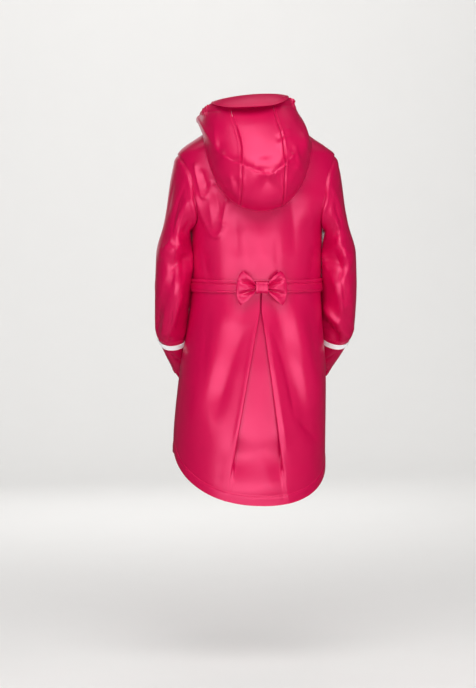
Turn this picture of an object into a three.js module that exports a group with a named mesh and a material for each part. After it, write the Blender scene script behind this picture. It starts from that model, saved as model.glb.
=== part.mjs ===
// A girl's hooded raincoat, held in the shape it has when it is worn: hood down, arms hanging, a bow
// on the back of the waist and an inverted pleat below it.
// Millimetres. +Z is up, +Y is towards the wearer's back, +X is to the wearer's left.
// The origin lies between the shoulders, at the level where the neckline meets the shoulder seams.
import * as THREE from "three";

const { cos, sin, sqrt, abs, sign, min, max, pow, exp, hypot, PI } = Math;
const DEG = PI / 180;

// Cloth and seams
const CLOTH = 1.5; // wall of the coated cloth with its backing
const SEAM = 0.3; // gap between two panels at a seam
const HALF_SEAM = SEAM / 2;
const ON_TOP = 0.6; // gap under a piece that lies on a panel
const TRIM = 1.2; // wall of the thin trims

// Levels
const SHOULDER_Z = -55; // shoulder point, top of the armhole
const ARMPIT_Z = -210;
const WAIST_Z = -331; // seam between bodice and skirt
const BAND_TOP_Z = -307;
const BAND_BOTTOM_Z = -334;
const SIDE_HEM_Z = -664;
const BACK_HEM_DROP = 92; // the back hem dips this much below the side hem
const HEM_TWIST = 8 * DEG; // the dip is turned this much towards the wearer's right
const BACK_NECK_RISE = 10;
const FRONT_NECK_DROP = 45;

// Horizontal sections of the coat: half is the half width, back and front the depths from the side line.
// In the armhole levels the section is wider than the cloth, which ends at the armhole.
const BODY = [
  { z: 12, half: 66, back: 58, front: 52, shift: 0 },
  { z: 2, half: 73, back: 63, front: 54, shift: 0 },
  { z: -12, half: 102, back: 72, front: 58, shift: 1 },
  { z: -25, half: 121, back: 79, front: 62, shift: 2 },
  { z: -38, half: 141, back: 86, front: 66, shift: 2 },
  { z: -55, half: 160, back: 92, front: 70, shift: 0 },
  { z: -130, half: 185, back: 106, front: 94, shift: 0 },
  { z: -210, half: 135, back: 112, front: 106, shift: 0 },
  { z: -250, half: 134, back: 111, front: 108, shift: 0 },
  { z: -320, half: 133, back: 107, front: 109, shift: 0 },
  { z: -400, half: 138, back: 116, front: 113, shift: 2 },
  { z: -500, half: 150, back: 131, front: 120, shift: 7 },
  { z: -640, half: 156, back: 147, front: 132, shift: 14 },
  { z: -790, half: 157, back: 156, front: 138, shift: 16 },
];
const ROUND = 0.9; // power of sine and cosine in a section: 1 is an ellipse, less is squarer
const ARMHOLE_BACK = 47 * DEG; // how far the armhole reaches round the section
const ARMHOLE_FRONT = 44 * DEG;

// Broad folds of the coat. from and to are points in the back or front view, as x and z.
const BODY_FOLDS = [
  { side: 1, x0: 34, z0: -352, x1: 96, z1: -560, width: 20, depth: -5 },
  { side: 1, x0: 58, z0: -352, x1: 138, z1: -600, width: 26, depth: 5 },
  { side: 1, x0: -32, z0: -352, x1: -96, z1: -600, width: 19, depth: -5.5 },
  { side: 1, x0: -60, z0: -352, x1: -128, z1: -560, width: 24, depth: 4.5 },
  { side: 1, x0: 62, z0: -120, x1: 52, z1: -300, width: 22, depth: -3 },
  { side: 1, x0: -64, z0: -130, x1: -60, z1: -300, width: 24, depth: -3 },
  { side: -1, x0: 60, z0: -330, x1: 96, z1: -640, width: 26, depth: -5 },
  { side: -1, x0: -58, z0: -340, x1: -84, z1: -640, width: 26, depth: -5 },
  { side: -1, x0: 84, z0: -120, x1: 66, z1: -290, width: 22, depth: -4 },
  { side: -1, x0: -84, z0: -110, x1: -64, z1: -280, width: 22, depth: -4 },
];

// Inverted pleat of the back skirt
const PLEAT_TOP_Z = -369; // the two edges are closed above this
const PLEAT_HALF_AT_TOP = 0.9;
const PLEAT_SPREAD = 0.158; // each edge moves out by this much for every mm down
const PLEAT_CLOTH = 54; // cloth between the pleat's centre and the point where the panel is flat again
const PLEAT_MIDDLE_MIN = 6;
const PLEAT_BEND = 2.2; // radius of a fold
const PLEAT_OPEN_BEND = 6; // and where it has opened out
const PLEAT_DISSOLVE_Z = -610; // the folds open out below this level
const PLEAT_DISSOLVE_LENGTH = 125;
const PLEAT_SHIFT = 10; // the pleat's foot lies this far to the wearer's left

// Sleeve sections, from the underarm to the wrist: centre, half sizes across and along the body, and
// how far the section's outer side is raised (roll) and its back lowered (lean), in degrees.
const SLEEVE = [
  { x: 166, y: 4, z: -224, across: 30, along: 55, roll: 28, lean: 0 },
  { x: 170, y: 8, z: -262, across: 35, along: 55, roll: 8, lean: 2 },
  { x: 171, y: 9, z: -300, across: 35, along: 53, roll: 0, lean: 7 },
  { x: 172, y: 3, z: -338, across: 35, along: 51, roll: 0, lean: 15 },
  { x: 173, y: -10, z: -376, across: 34, along: 48, roll: -2, lean: 22 },
  { x: 172, y: -27, z: -408, across: 34, along: 44, roll: -4, lean: 27 },
  { x: 166, y: -42, z: -432, across: 31, along: 38, roll: -8, lean: 29 },
  { x: 157, y: -60, z: -457, across: 28, along: 34, roll: -14, lean: 30 },
  { x: 147, y: -77, z: -480, across: 26, along: 30, roll: -16, lean: 31 },
  { x: 138, y: -92, z: -502, across: 23, along: 26, roll: -16, lean: 32 },
];
const CAP_ROWS = 5; // rows of the sleeve cap between the armhole and the first section
const COAT_CLEAR = 3.2; // least distance between a sleeve and the coat
const SLEEVE_AROUND = 24;
const TAPE_ROW = 6; // the reflective tape is centred on this section
const TAPE_WIDTH = 11;
const CUFF_WAVES = 8; // gathers of the elastic wrist
const CUFF_WAVE_DEPTH = 1.6;

// Broad folds of the sleeves: angle round the arm (0 outside, 90 back, 180 inside) and section number.
const SLEEVE_FOLDS = [
  { side: 1, a0: 120, s0: 0.1, a1: 30, s1: 1.0, width: 15, depth: 5 },
  { side: 1, a0: 150, s0: 0.9, a1: 70, s1: 1.5, width: 14, depth: -6 },
  { side: 1, a0: 125, s0: 1.9, a1: 60, s1: 5.2, width: 14, depth: 5 },
  { side: 1, a0: 80, s0: 1.4, a1: 20, s1: 4.8, width: 14, depth: -4 },
  { side: 1, a0: 250, s0: 1.2, a1: 320, s1: 3.4, width: 16, depth: -5 },
  { side: -1, a0: 125, s0: 0.2, a1: 40, s1: 1.2, width: 15, depth: 5 },
  { side: -1, a0: 150, s0: 1.0, a1: 80, s1: 1.6, width: 14, depth: -6 },
  { side: -1, a0: 110, s0: 2.0, a1: 95, s1: 3.6, width: 15, depth: 4 },
  { side: -1, a0: 150, s0: 3.6, a1: 40, s1: 5.3, width: 13, depth: 6 },
  { side: -1, a0: 150, s0: 4.6, a1: 90, s1: 5.3, width: 13, depth: -5 },
  { side: -1, a0: 250, s0: 1.2, a1: 320, s1: 3.4, width: 16, depth: -5 },
];

// Rings of the lowered hood, from the neckline out to the edge round the face. Each ring gives its half
// width, the depth at the back and front, and the heights at the side, back and front. lie is how far the
// ring stays clear of the coat, deep how squarely its back reaches the sides (1 is an ellipse), reach how
// soon it runs backwards from the side (less is sooner) and sag how late it falls there.
const HOOD_COLUMNS = ["half", "back", "front", "side_z", "back_z", "front_z", "lie", "deep", "reach", "sag"];
const HOOD = [
  [73, 63, 64, 2, 10, -45, 1, 1, 0.9, 1],
  [79, 77, 71, 10, 19, -34, 3, 1, 0.9, 1],
  [86, 90, 76, 12, -24, -22, 4.5, 1, 0.9, 1.6],
  [95, 112, 81, 9, -112, -12, 5, 1.3, 0.85, 1.3],
  [103, 136, 86, 6, -171, -4, 8, 1.6, 0.75, 1.05],
  [107, 166, 90, 11, -153, 5, 18, 1.6, 0.65, 1.15],
  [105, 182, 91, 20, -92, 13, 22, 1.5, 0.65, 1.15],
  [99, 150, 89, 30, -8, 20, 22, 1.47, 0.8, 1],
  [92, 104, 85, 39, 61, 27, 22, 1.3, 1, 1],
];
const HOOD_SHIFT = 3; // the hood lies this far to the wearer's left low down
const HOOD_LEAN = 16; // and this much further at the top
const HOOD_SHIFTED_RING = 4.5; // from this ring out; the rings before it are shifted less
const HOOD_SIDE_LIE = 4; // most that a ring is held clear of the coat on the shoulders
const HOOD_ROW_STEPS = 2; // rows of wall for each ring
const HOOD_NORMAL_STEP = 0.4; // in rings, wide enough to keep the inner face smooth in the fold
const HOOD_TILT = -0.085; // the face edge is lower on the wearer's left
const HOOD_STRIP_HALF = 42; // half width of the centre strip
const FRONT_COLUMNS = 11;
const HOOD_FRONT_COLUMNS = 9; // the hood starts this many columns of a front from the side seam
const PEAK_HALF_ANGLE = 52 * DEG; // the peak's reach on each side of the back
const PEAK_DEPTH = 52;

// Bow
const BOW_Z = -322;
const BOW_HALF_WIDTH = 51;
const BOW_TIP_HEIGHT = 42;
const BOW_ROOT_HEIGHT = 8.8;
const BOW_ROOT_THICKNESS = 10.2;
const BOW_THICKNESS = 15;
const KNOT_HALF_WIDTH = 12;
const KNOT_HALF_HEIGHT = 13;

// Front closure
const FLAP_HALF_WIDTH = 21;
const SNAP_COUNT = 6;
const SNAP_RADIUS = 6.5;
const SNAP_HEIGHT = 2.4;
const SNAP_TOP_Z = -78;
const SNAP_PITCH = 104;

// Colours
const PINK = new THREE.Color(0.86, 0.03, 0.28);
const PINK_DARK = new THREE.Color(0.78, 0.02, 0.25);
const SILVER = new THREE.Color(0.86, 0.87, 0.88);

// Numbers

const lerp = (a, b, t) => a + (b - a) * t;
const clamp = (v, lo, hi) => max(lo, min(hi, v));
const step = (v) => ((t) => t * t * (3 - 2 * t))(clamp(v, 0, 1));
const softPower = (v, p) => sign(v) * pow(abs(v), p);

// A smooth curve through the rows of a table that never overshoots them.
function tableCurve(rows, key, column) {
  const at = [...rows].sort((a, b) => a[key] - b[key]);
  const slopes = at.slice(1).map((r, i) => (r[column] - at[i][column]) / (r[key] - at[i][key]));
  const tangents = at.map((r, i) => {
    if (i === 0) return slopes[0];
    if (i === at.length - 1) return slopes[i - 1];
    const [before, after] = [slopes[i - 1], slopes[i]];
    return before * after <= 0 ? 0 : (2 * before * after) / (before + after);
  });
  return (k) => {
    const v = clamp(k, at[0][key], at[at.length - 1][key]);
    let i = 0;
    while (i < at.length - 2 && v > at[i + 1][key]) i++;
    const width = at[i + 1][key] - at[i][key];
    const t = (v - at[i][key]) / width;
    const [t2, t3] = [t * t, t * t * t];
    return (
      (2 * t3 - 3 * t2 + 1) * at[i][column] +
      (t3 - 2 * t2 + t) * width * tangents[i] +
      (3 * t2 - 2 * t3) * at[i + 1][column] +
      (t3 - t2) * width * tangents[i + 1]
    );
  };
}

const tableCurves = (rows, key, columns) =>
  Object.fromEntries(columns.map((c) => [c, tableCurve(rows, key, c)]));

// How much a point is inside a fold that runs along a line and fades at its ends, from 0 to 1.
function foldShare(px, py, x0, y0, x1, y1, width) {
  const [dx, dy] = [x1 - x0, y1 - y0];
  const along = ((px - x0) * dx + (py - y0) * dy) / (dx * dx + dy * dy);
  const off = hypot(px - x0 - dx * along, py - y0 - dy * along);
  const ends = step(along / 0.35 + 0.5) * step((1 - along) / 0.35 + 0.5);
  return ends * exp(-((off / width) ** 2));
}

// Walls

// A grid of cells {p, n}: p is a point of the outer face and n the face's outward normal.
// Columns run anticlockwise seen from above and rows run up.
function wallGeometry(cells, thickness, closedRound = false) {
  const rows = cells.length;
  const cols = cells[0].length;
  const positions = [];
  for (const inner of [false, true]) {
    for (const row of cells) {
      for (const { p, n } of row) {
        const q = inner ? p.clone().addScaledVector(n, -thickness) : p;
        positions.push(q.x, q.y, q.z);
      }
    }
  }
  const outerAt = (i, j) => i * cols + (j % cols);
  const innerAt = (i, j) => rows * cols + outerAt(i, j);
  const index = [];
  const quad = (a, b, c, d) => index.push(a, b, c, a, c, d);
  const spans = closedRound ? cols : cols - 1;
  for (let i = 0; i < rows - 1; i++) {
    for (let j = 0; j < spans; j++) {
      quad(outerAt(i, j), outerAt(i, j + 1), outerAt(i + 1, j + 1), outerAt(i + 1, j));
      quad(innerAt(i, j), innerAt(i + 1, j), innerAt(i + 1, j + 1), innerAt(i, j + 1));
    }
  }
  const top = rows - 1;
  for (let j = 0; j < spans; j++) {
    quad(outerAt(0, j), innerAt(0, j), innerAt(0, j + 1), outerAt(0, j + 1));
    quad(outerAt(top, j), outerAt(top, j + 1), innerAt(top, j + 1), innerAt(top, j));
  }
  if (!closedRound) {
    const end = cols - 1;
    for (let i = 0; i < top; i++) {
      quad(outerAt(i, 0), outerAt(i + 1, 0), innerAt(i + 1, 0), innerAt(i, 0));
      quad(outerAt(i, end), innerAt(i, end), innerAt(i + 1, end), outerAt(i + 1, end));
    }
  }
  const geometry = new THREE.BufferGeometry();
  geometry.setAttribute("position", new THREE.Float32BufferAttribute(positions, 3));
  geometry.setIndex(index);
  return geometry;
}

// The normal of surface(u, v) by small steps, facing the way that columns cross rows.
function normalOf(surface, u, v, du, dv) {
  const across = surface(u + du, v).sub(surface(u - du, v));
  const up = surface(u, v + dv).sub(surface(u, v - dv));
  return across.cross(up).normalize();
}

// Cells of a surface over a grid of (u, v) pairs.
const cellsOf = (surface, grid, du, dv) =>
  grid.map((row) => row.map(([u, v]) => ({ p: surface(u, v), n: normalOf(surface, u, v, du, dv) })));

// Normals read from the grid's own points, for pieces whose columns fold back.
function cellsFromPoints(points, closedRound = false) {
  const rows = points.length;
  const cols = points[0].length;
  return points.map((row, i) =>
    row.map((p, j) => {
      const before = closedRound ? row[(j + cols - 1) % cols] : row[max(j - 1, 0)];
      const after = closedRound ? row[(j + 1) % cols] : row[min(j + 1, cols - 1)];
      const below = points[max(i - 1, 0)][j];
      const above = points[min(i + 1, rows - 1)][j];
      return { p, n: after.clone().sub(before).cross(above.clone().sub(below)).normalize() };
    }),
  );
}

const raised = (cells, out) =>
  cells.map((row) => row.map(({ p, n }) => ({ p: p.clone().addScaledVector(n, out), n })));

// The same wall on the other side of the body.
const mirrored = (cells) =>
  cells.map((row) =>
    [...row].reverse().map(({ p, n }) => ({
      p: new THREE.Vector3(-p.x, p.y, p.z),
      n: new THREE.Vector3(-n.x, n.y, n.z),
    })),
  );

const spread = (from, to, count) => Array.from({ length: count + 1 }, (_, i) => lerp(from, to, i / count));

// Coat body

const body = tableCurves(BODY, "z", ["half", "back", "front", "shift"]);

function bodyFold(x, z, side) {
  let out = 0;
  for (const f of BODY_FOLDS) {
    if (f.side === side) out += f.depth * foldShare(x, z, f.x0, f.z0, f.x1, f.z1, f.width);
  }
  return out;
}

// A point of the coat at an angle round the section: 0 is the wearer's left, 90 degrees the back.
function bodyPlain(angle, z) {
  const c = softPower(cos(angle), ROUND);
  const s = softPower(sin(angle), ROUND);
  const depth = s >= 0 ? body.back(z) : body.front(z);
  return new THREE.Vector3(body.shift(z) + body.half(z) * c, depth * s, z);
}

function bodyPoint(angle, z) {
  const p = bodyPlain(angle, z);
  const side = sin(angle) >= 0 ? 1 : -1;
  const fade = step(abs(sin(angle)) * 2.2 - 0.3);
  const out = bodyFold(p.x, z, side) * fade;
  const centre = new THREE.Vector3(body.shift(z), 0, z);
  const away = p.clone().sub(centre).normalize();
  return p.addScaledVector(away, out);
}

// The depth of the coat's back surface behind a point of the back view.
function coatBackAt(x, z) {
  const share = min(1, abs(x - body.shift(z)) / body.half(z));
  return body.back(z) * pow(1 - pow(share, 2 / ROUND), ROUND / 2);
}

// How far a point lies outside the coat's plain surface, and the direction straight away from it.
function coatShare(x, y, z) {
  const across = abs(x - body.shift(z)) / body.half(z);
  const along = abs(y) / (y >= 0 ? body.back(z) : body.front(z));
  return pow(pow(across, 2 / ROUND) + pow(along, 2 / ROUND), ROUND / 2);
}

// Moves a point straight out of the coat until it is at least a gap away from it.
function clearOfCoat(p, gap) {
  const out = p.clone();
  const h = 0.5;
  for (let i = 0; i < 6; i++) {
    const share = coatShare(out.x, out.y, out.z);
    const slope = new THREE.Vector3(
      coatShare(out.x + h, out.y, out.z) - coatShare(out.x - h, out.y, out.z),
      coatShare(out.x, out.y + h, out.z) - coatShare(out.x, out.y - h, out.z),
      coatShare(out.x, out.y, out.z + h) - coatShare(out.x, out.y, out.z - h),
    ).divideScalar(2 * h);
    const steep = slope.length();
    const lack = gap - (share - 1) / steep;
    if (lack < 0.02) break;
    out.addScaledVector(slope, lack / steep);
  }
  return out;
}

// The angle at which the section reaches a given x, on the back.
function backAngleAt(x, z) {
  const share = clamp((x - body.shift(z)) / body.half(z), -1, 1);
  return Math.acos(softPower(share, 1 / ROUND));
}

const armholeMid = (SHOULDER_Z + ARMPIT_Z) / 2;
const armholeHalf = (SHOULDER_Z - ARMPIT_Z) / 2;

// The armhole as a loop: turn 0 is the shoulder point, 90 degrees the back, 180 the armpit.
function armholeAt(turn) {
  const reach = sin(turn) >= 0 ? ARMHOLE_BACK : ARMHOLE_FRONT;
  return { angle: reach * sin(turn), z: armholeMid + armholeHalf * cos(turn) };
}

const hemZ = (angle) => SIDE_HEM_Z - BACK_HEM_DROP * pow(max(0, sin(angle - HEM_TWIST)), 0.92);

// The neckline's height at an angle round the neck.
function neckZ(angle) {
  const s = sin(angle);
  const side = 2;
  return s >= 0 ? side + (BACK_NECK_RISE - side) * s * s : side - (FRONT_NECK_DROP + side) * s ** 6;
}

const SIDE_ROWS = [-300, -268, -238];
const ARM_STEPS = SLEEVE_AROUND / 2;
const SHOULDER_ROWS = 4;

// Rows of a panel that reaches from its lower edge to the neckline. edge is the angle between the side
// line and the panel's side edge: nothing at the side seam, and the armhole's reach beside it.
function upperRows(lowerRows, back) {
  const rows = lowerRows.map((z) => ({ edge: 0, z: () => z }));
  for (let i = 0; i <= ARM_STEPS; i++) {
    const turn = PI * (1 - i / ARM_STEPS);
    const at = armholeAt(back ? turn : -turn);
    rows.push({ edge: abs(at.angle), z: () => at.z });
  }
  for (let i = 1; i <= SHOULDER_ROWS; i++) {
    const t = i / SHOULDER_ROWS;
    rows.push({ edge: 0, z: (angle) => lerp(SHOULDER_Z, neckZ(angle), t) });
  }
  return rows;
}

const seamAngle = 0.0016; // the side seam's gap, as an angle
const BACK_COLUMNS = 20;

function bodiceBack() {
  const rows = upperRows([WAIST_Z + HALF_SEAM, ...SIDE_ROWS], true);
  const grid = rows.map(({ edge, z }) =>
    spread(edge + seamAngle, PI - edge - seamAngle, BACK_COLUMNS).map((a) => [a, z(a)]),
  );
  return wallGeometry(cellsOf(bodyPoint, grid, 1e-3, 0.05), CLOTH);
}

const FRONT_ROWS = [
  ...spread(0, 1, 9).map((t) => ({ edge: 0, z: (a) => lerp(hemZ(a), WAIST_Z, t) })),
  ...upperRows(SIDE_ROWS, false),
];

// One front, from its side seam to the closure, on the wearer's left (side 1) or right (side -1).
function front(side) {
  const grid = FRONT_ROWS.map(({ edge, z }) => {
    const end = PI / 2 - HALF_SEAM / body.half(z(-PI / 2));
    const angles = spread(edge + seamAngle, end, FRONT_COLUMNS);
    const around = side > 0 ? angles.map((a) => -a).reverse() : angles.map((a) => -PI + a);
    return around.map((a) => [a, z(a)]);
  });
  return wallGeometry(cellsOf(bodyPoint, grid, 1e-3, 0.05), CLOTH);
}

// Back skirt with the inverted pleat. The pleat's path runs in from the side, turns under at the edge,
// runs back out and turns in again to the underlay.

function pleatAt(z) {
  const down = max(0, PLEAT_TOP_Z - z);
  const edge = PLEAT_HALF_AT_TOP + PLEAT_SPREAD * down;
  const free = (PLEAT_CLOTH - edge) / 2;
  const open = step((PLEAT_DISSOLVE_Z - z) / PLEAT_DISSOLVE_LENGTH);
  return {
    edge,
    middle: max(free, PLEAT_MIDDLE_MIN),
    turn: lerp(PI, 0.12 * PI, open),
    radius: lerp(PLEAT_BEND, PLEAT_OPEN_BEND, open),
    centre: PLEAT_SHIFT * clamp((WAIST_Z - z) / 360, 0, 1.1),
  };
}

const BEND_STEPS = 4;

// Half of the pleat's section as {q, depth}: q is the distance from the pleat's centre.
function pleatPath(z) {
  const { edge, middle, turn, radius: r } = pleatAt(z);
  const path = [];
  const start = edge + r * sin(min(turn, PI / 2));
  for (let i = 0; i <= BEND_STEPS; i++) {
    const a = (turn * i) / BEND_STEPS;
    path.push({ q: start - r * sin(a), depth: r * (1 - cos(a)) });
  }
  const last = path[path.length - 1];
  const foldQ = last.q - middle * cos(turn);
  const foldDepth = last.depth + middle * sin(turn);
  for (let i = 0; i <= BEND_STEPS; i++) {
    const a = turn * (1 - i / BEND_STEPS);
    path.push({
      q: foldQ - r * (sin(turn) - sin(a)),
      depth: foldDepth + r * (1 - cos(turn)) - r * (1 - cos(a)),
    });
  }
  const under = path[path.length - 1];
  for (const t of [0.34, 0.67]) {
    path.push({ q: under.q * (1 - t), depth: under.depth * (1 - 0.18 * step(t)) });
  }
  return { path, centreDepth: under.depth * 0.82 };
}

const SKIRT_ROWS = 12;
const SKIRT_SIDE_COLUMNS = BACK_COLUMNS / 2;

function skirtBack() {
  const points = spread(0, 1, SKIRT_ROWS).map((t) => {
    const centreZ = lerp(hemZ(PI / 2), WAIST_Z - HALF_SEAM, t);
    const { path, centreDepth } = pleatPath(centreZ);
    const { centre } = pleatAt(centreZ);
    const zAt = (angle) => lerp(hemZ(angle), WAIST_Z - HALF_SEAM, t);
    const pleated = ({ q, depth }, side) => {
      const angle = backAngleAt(centre + side * q, centreZ);
      const p = bodyPoint(angle, zAt(angle));
      return p.add(new THREE.Vector3(-cos(angle), -sin(angle), 0).multiplyScalar(depth));
    };
    const plain = (from, to) => spread(from, to, SKIRT_SIDE_COLUMNS).map((a) => bodyPoint(a, zAt(a)));
    const leftStart = backAngleAt(centre + path[0].q, centreZ);
    const rightStart = backAngleAt(centre - path[0].q, centreZ);
    return [
      ...plain(seamAngle, leftStart).slice(0, -1),
      ...path.map((at) => pleated(at, 1)),
      pleated({ q: 0, depth: centreDepth }, 1),
      ...[...path].reverse().map((at) => pleated(at, -1)),
      ...plain(rightStart, PI - seamAngle).slice(1),
    ];
  });
  return wallGeometry(cellsFromPoints(points), CLOTH);
}

// Waistband: a strip that lies on the seam between bodice and skirt, with a narrow tuck along its top.
function waistband() {
  const profile = [
    { z: BAND_BOTTOM_Z, out: 1.0 },
    { z: BAND_BOTTOM_Z + 9, out: 2.0 },
    { z: BAND_TOP_Z - 8, out: 1.2 },
    { z: BAND_TOP_Z - 4, out: 2.0 },
    { z: BAND_TOP_Z, out: 1.0 },
  ];
  const angles = spread(seamAngle * 4, PI - seamAngle * 4, BACK_COLUMNS);
  const base = cellsOf(bodyPoint, profile.map(({ z }) => angles.map((a) => [a, z])), 1e-3, 0.05);
  const cells = base.map((row, i) => raised([row], ON_TOP + TRIM - 1 + profile[i].out)[0]);
  return wallGeometry(cells, TRIM);
}

// Sleeves

const sectionNumbers = SLEEVE.map((s, i) => ({ ...s, number: i }));
const sleeve = tableCurves(sectionNumbers, "number", ["x", "y", "z", "across", "along", "roll", "lean"]);

function sleeveFold(turn, number, side) {
  const degrees = ((turn / DEG) % 360 + 360) % 360;
  const aroundMm = 0.75;
  const sectionMm = 36;
  let out = 0;
  for (const f of SLEEVE_FOLDS) {
    if (f.side !== side) continue;
    out += f.depth * foldShare(
      degrees * aroundMm, number * sectionMm,
      f.a0 * aroundMm, f.s0 * sectionMm, f.a1 * aroundMm, f.s1 * sectionMm, f.width,
    );
  }
  return out;
}

// A point of the wearer's left sleeve below the cap, at a section number that may lie between two rows.
function sleeveSection(turn, number, side) {
  const roll = sleeve.roll(number) * DEG;
  const lean = sleeve.lean(number) * DEG;
  const gather = step((number - 7.4) / 1.6) * CUFF_WAVE_DEPTH * cos(CUFF_WAVES * turn);
  const out = gather + sleeveFold(turn, number, side);
  const across = (sleeve.across(number) + out) * cos(turn);
  const along = (sleeve.along(number) + out) * sin(turn);
  const p = new THREE.Vector3(
    side * (sleeve.x(number) + across * cos(roll)),
    sleeve.y(number) + along * cos(lean),
    sleeve.z(number) + across * sin(roll) - along * sin(lean),
  );
  const free = clearOfCoat(p, COAT_CLEAR);
  return free.setX(side * free.x);
}

// The cap runs from the armhole (t 0) to the first section (t 1) on a curve that leaves the shoulder
// seam outwards and arrives downwards.
function sleeveCap(turn, t, side) {
  const { angle, z } = armholeAt(turn);
  const inside = (1 - cos(turn)) / 2;
  const leave = new THREE.Vector3(lerp(0.42, 1, inside), 0, lerp(-0.91, -0.22, inside)).normalize();
  const from = bodyPoint(angle, z).addScaledVector(leave, SEAM);
  const to = sleeveSection(turn, 0, side);
  const reach = from.distanceTo(to);
  const arrive = sleeveSection(turn, 0.06, side).sub(to).normalize();
  const [t2, t3] = [t * t, t * t * t];
  return from
    .clone()
    .multiplyScalar(2 * t3 - 3 * t2 + 1)
    .addScaledVector(leave, (t3 - 2 * t2 + t) * reach * 0.9)
    .addScaledVector(to, 3 * t2 - 2 * t3)
    .addScaledVector(arrive, (t3 - t2) * reach * 0.9);
}

// The whole sleeve with one running number: below 0 in the cap, 0 and above in the sections.
const sleevePoint = (side) => (turn, number) =>
  number < 0 ? sleeveCap(turn, number + 1, side) : sleeveSection(turn, number, side);

const LAST_SECTION = SLEEVE.length - 1;
const TAPE_SECTION = 29; // distance between the sections next to the tape
const TAPE_HALF = TAPE_WIDTH / 2 / TAPE_SECTION;
const turns = Array.from({ length: SLEEVE_AROUND }, (_, i) => (2 * PI * i) / SLEEVE_AROUND);

function sleeveCells(side) {
  const surface = sleevePoint(side);
  const sections = [];
  for (let n = LAST_SECTION; n > TAPE_ROW; n -= n > TAPE_ROW + 1 ? 0.5 : 1) sections.push(n);
  sections.push(TAPE_ROW + TAPE_HALF, TAPE_ROW - TAPE_HALF);
  for (let n = TAPE_ROW - 1; n >= 0; n--) sections.push(n);
  const caps = spread(0, -1, CAP_ROWS).slice(1);
  const points = [...sections, ...caps].map((n) => turns.map((a) => surface(a, n)));
  const cells = cellsFromPoints(points, true);
  const top = cells[cells.length - 1];
  top.forEach((cell, i) => {
    const at = armholeAt(turns[i]);
    const share = step((cos(turns[i]) + 0.75) / 0.6);
    const bodyNormal = normalOf(bodyPoint, at.angle, at.z, 1e-3, 0.05);
    cell.n.multiplyScalar(1 - share).addScaledVector(bodyNormal, share).normalize();
  });
  return cells;
}

// The reflective tape lies round the forearm on the sleeve's own points.
function tapeCells(side) {
  const surface = sleevePoint(side);
  const points = [TAPE_ROW + TAPE_HALF, TAPE_ROW - TAPE_HALF].map((n) => turns.map((a) => surface(a, n)));
  return raised(cellsFromPoints(points, true), ON_TOP + TRIM);
}

const onSide = (cells, side) => (side > 0 ? cells : mirrored(cells));

// Hood

const hoodRings = HOOD.map((row, i) => {
  const ring = Object.fromEntries(HOOD_COLUMNS.map((column, c) => [column, row[c]]));
  return { ...ring, number: i };
});
const hood = tableCurves(hoodRings, "number", HOOD_COLUMNS);
const LAST_RING = HOOD.length - 1;

// The hood is sewn to the neckline. It stands a little higher above the sloping edge of the fronts.
const hoodShift = (z) => HOOD_SHIFT + HOOD_LEAN * step((z + 45) / 85);

const neckPoint = (angle) =>
  bodyPlain(angle, neckZ(angle)).add(new THREE.Vector3(0, 0, SEAM + max(0, -sin(angle)) * 0.8));

function hoodPoint(angle, number) {
  if (number <= 0) return neckPoint(angle);
  const s = sin(angle);
  const half = hood.half(number);
  const tilt = HOOD_TILT * step((number - 5) / 3);
  const deep = s > 0 ? pow(s, hood.deep(number)) : 0;
  const round = s > 0 ? sqrt(max(0, 1 - deep * deep)) : abs(softPower(cos(angle), ROUND));
  const level = s > 0
    ? lerp(hood.side_z(number), hood.back_z(number), pow(s, hood.sag(number)))
    : lerp(hood.side_z(number), hood.front_z(number), s ** 6);
  const x = half * sign(cos(angle)) * round + hoodShift(level) * step(number / HOOD_SHIFTED_RING);
  const z = level + tilt * x;
  const y = s > 0
    ? max(hood.back(number) * pow(s, hood.reach(number)), coatBackAt(x, z))
    : -hood.front(number) * pow(-s, ROUND);
  const own = new THREE.Vector3(x, y, z).lerp(neckPoint(angle), step(1 - number));
  const lie = hood.lie(number);
  return clearOfCoat(own, min(lie, HOOD_SIDE_LIE) + max(0, lie - HOOD_SIDE_LIE) * step(s * 2));
}

// The angle where the centre strip's seam crosses a ring.
function stripAngle(number) {
  const share = min(1, HOOD_STRIP_HALF / hood.half(number));
  return Math.asin(pow(1 - share * share, 1 / (2 * hood.deep(number))));
}

const HOOD_ROWS = spread(0, LAST_RING, LAST_RING * HOOD_ROW_STEPS);

function hoodPanel(anglesAt) {
  const grid = HOOD_ROWS.map((n) => anglesAt(n).map((a) => [a, n]));
  return wallGeometry(cellsOf(hoodPoint, grid, 2e-3, HOOD_NORMAL_STEP), CLOTH);
}

const hoodCentre = () =>
  hoodPanel((n) => {
    const gap = HALF_SEAM / hood.half(n);
    return spread(stripAngle(n) + gap, PI - stripAngle(n) - gap, 6);
  });

const hoodSide = (side) =>
  hoodPanel((n) => {
    const gap = HALF_SEAM / hood.half(n);
    const angles = [
      ...spread((-PI / 2) * (HOOD_FRONT_COLUMNS / FRONT_COLUMNS), 0, HOOD_FRONT_COLUMNS).slice(0, -1),
      ...spread(0, stripAngle(n) - gap, 9),
    ];
    return side > 0 ? angles : angles.map((a) => PI - a).reverse();
  });

// The peak is sewn to the face edge and turned back over the hood, like a narrow roof.
function peakPoint(share, out) {
  const angle = PI / 2 + share * PEAK_HALF_ANGLE;
  const root = hoodPoint(angle, LAST_RING);
  const depth = PEAK_DEPTH * (1 - share * share) * out;
  const back = new THREE.Vector3(-share * 0.35, 0.8, 0).normalize();
  return root
    .addScaledVector(back, SEAM * 3 + depth * 0.86)
    .add(new THREE.Vector3(0, 0, 2.2 - depth * (0.4 + 0.3 * out)));
}

function peak() {
  const points = spread(1, 0.06, 4).map((out) => spread(-0.97, 0.97, 16).map((s) => peakPoint(s, out)));
  return wallGeometry(cellsFromPoints(points), TRIM);
}

// Bow

const bowBack = () => bodyPlain(PI / 2, BOW_Z).y + ON_TOP + TRIM + 3;

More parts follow.
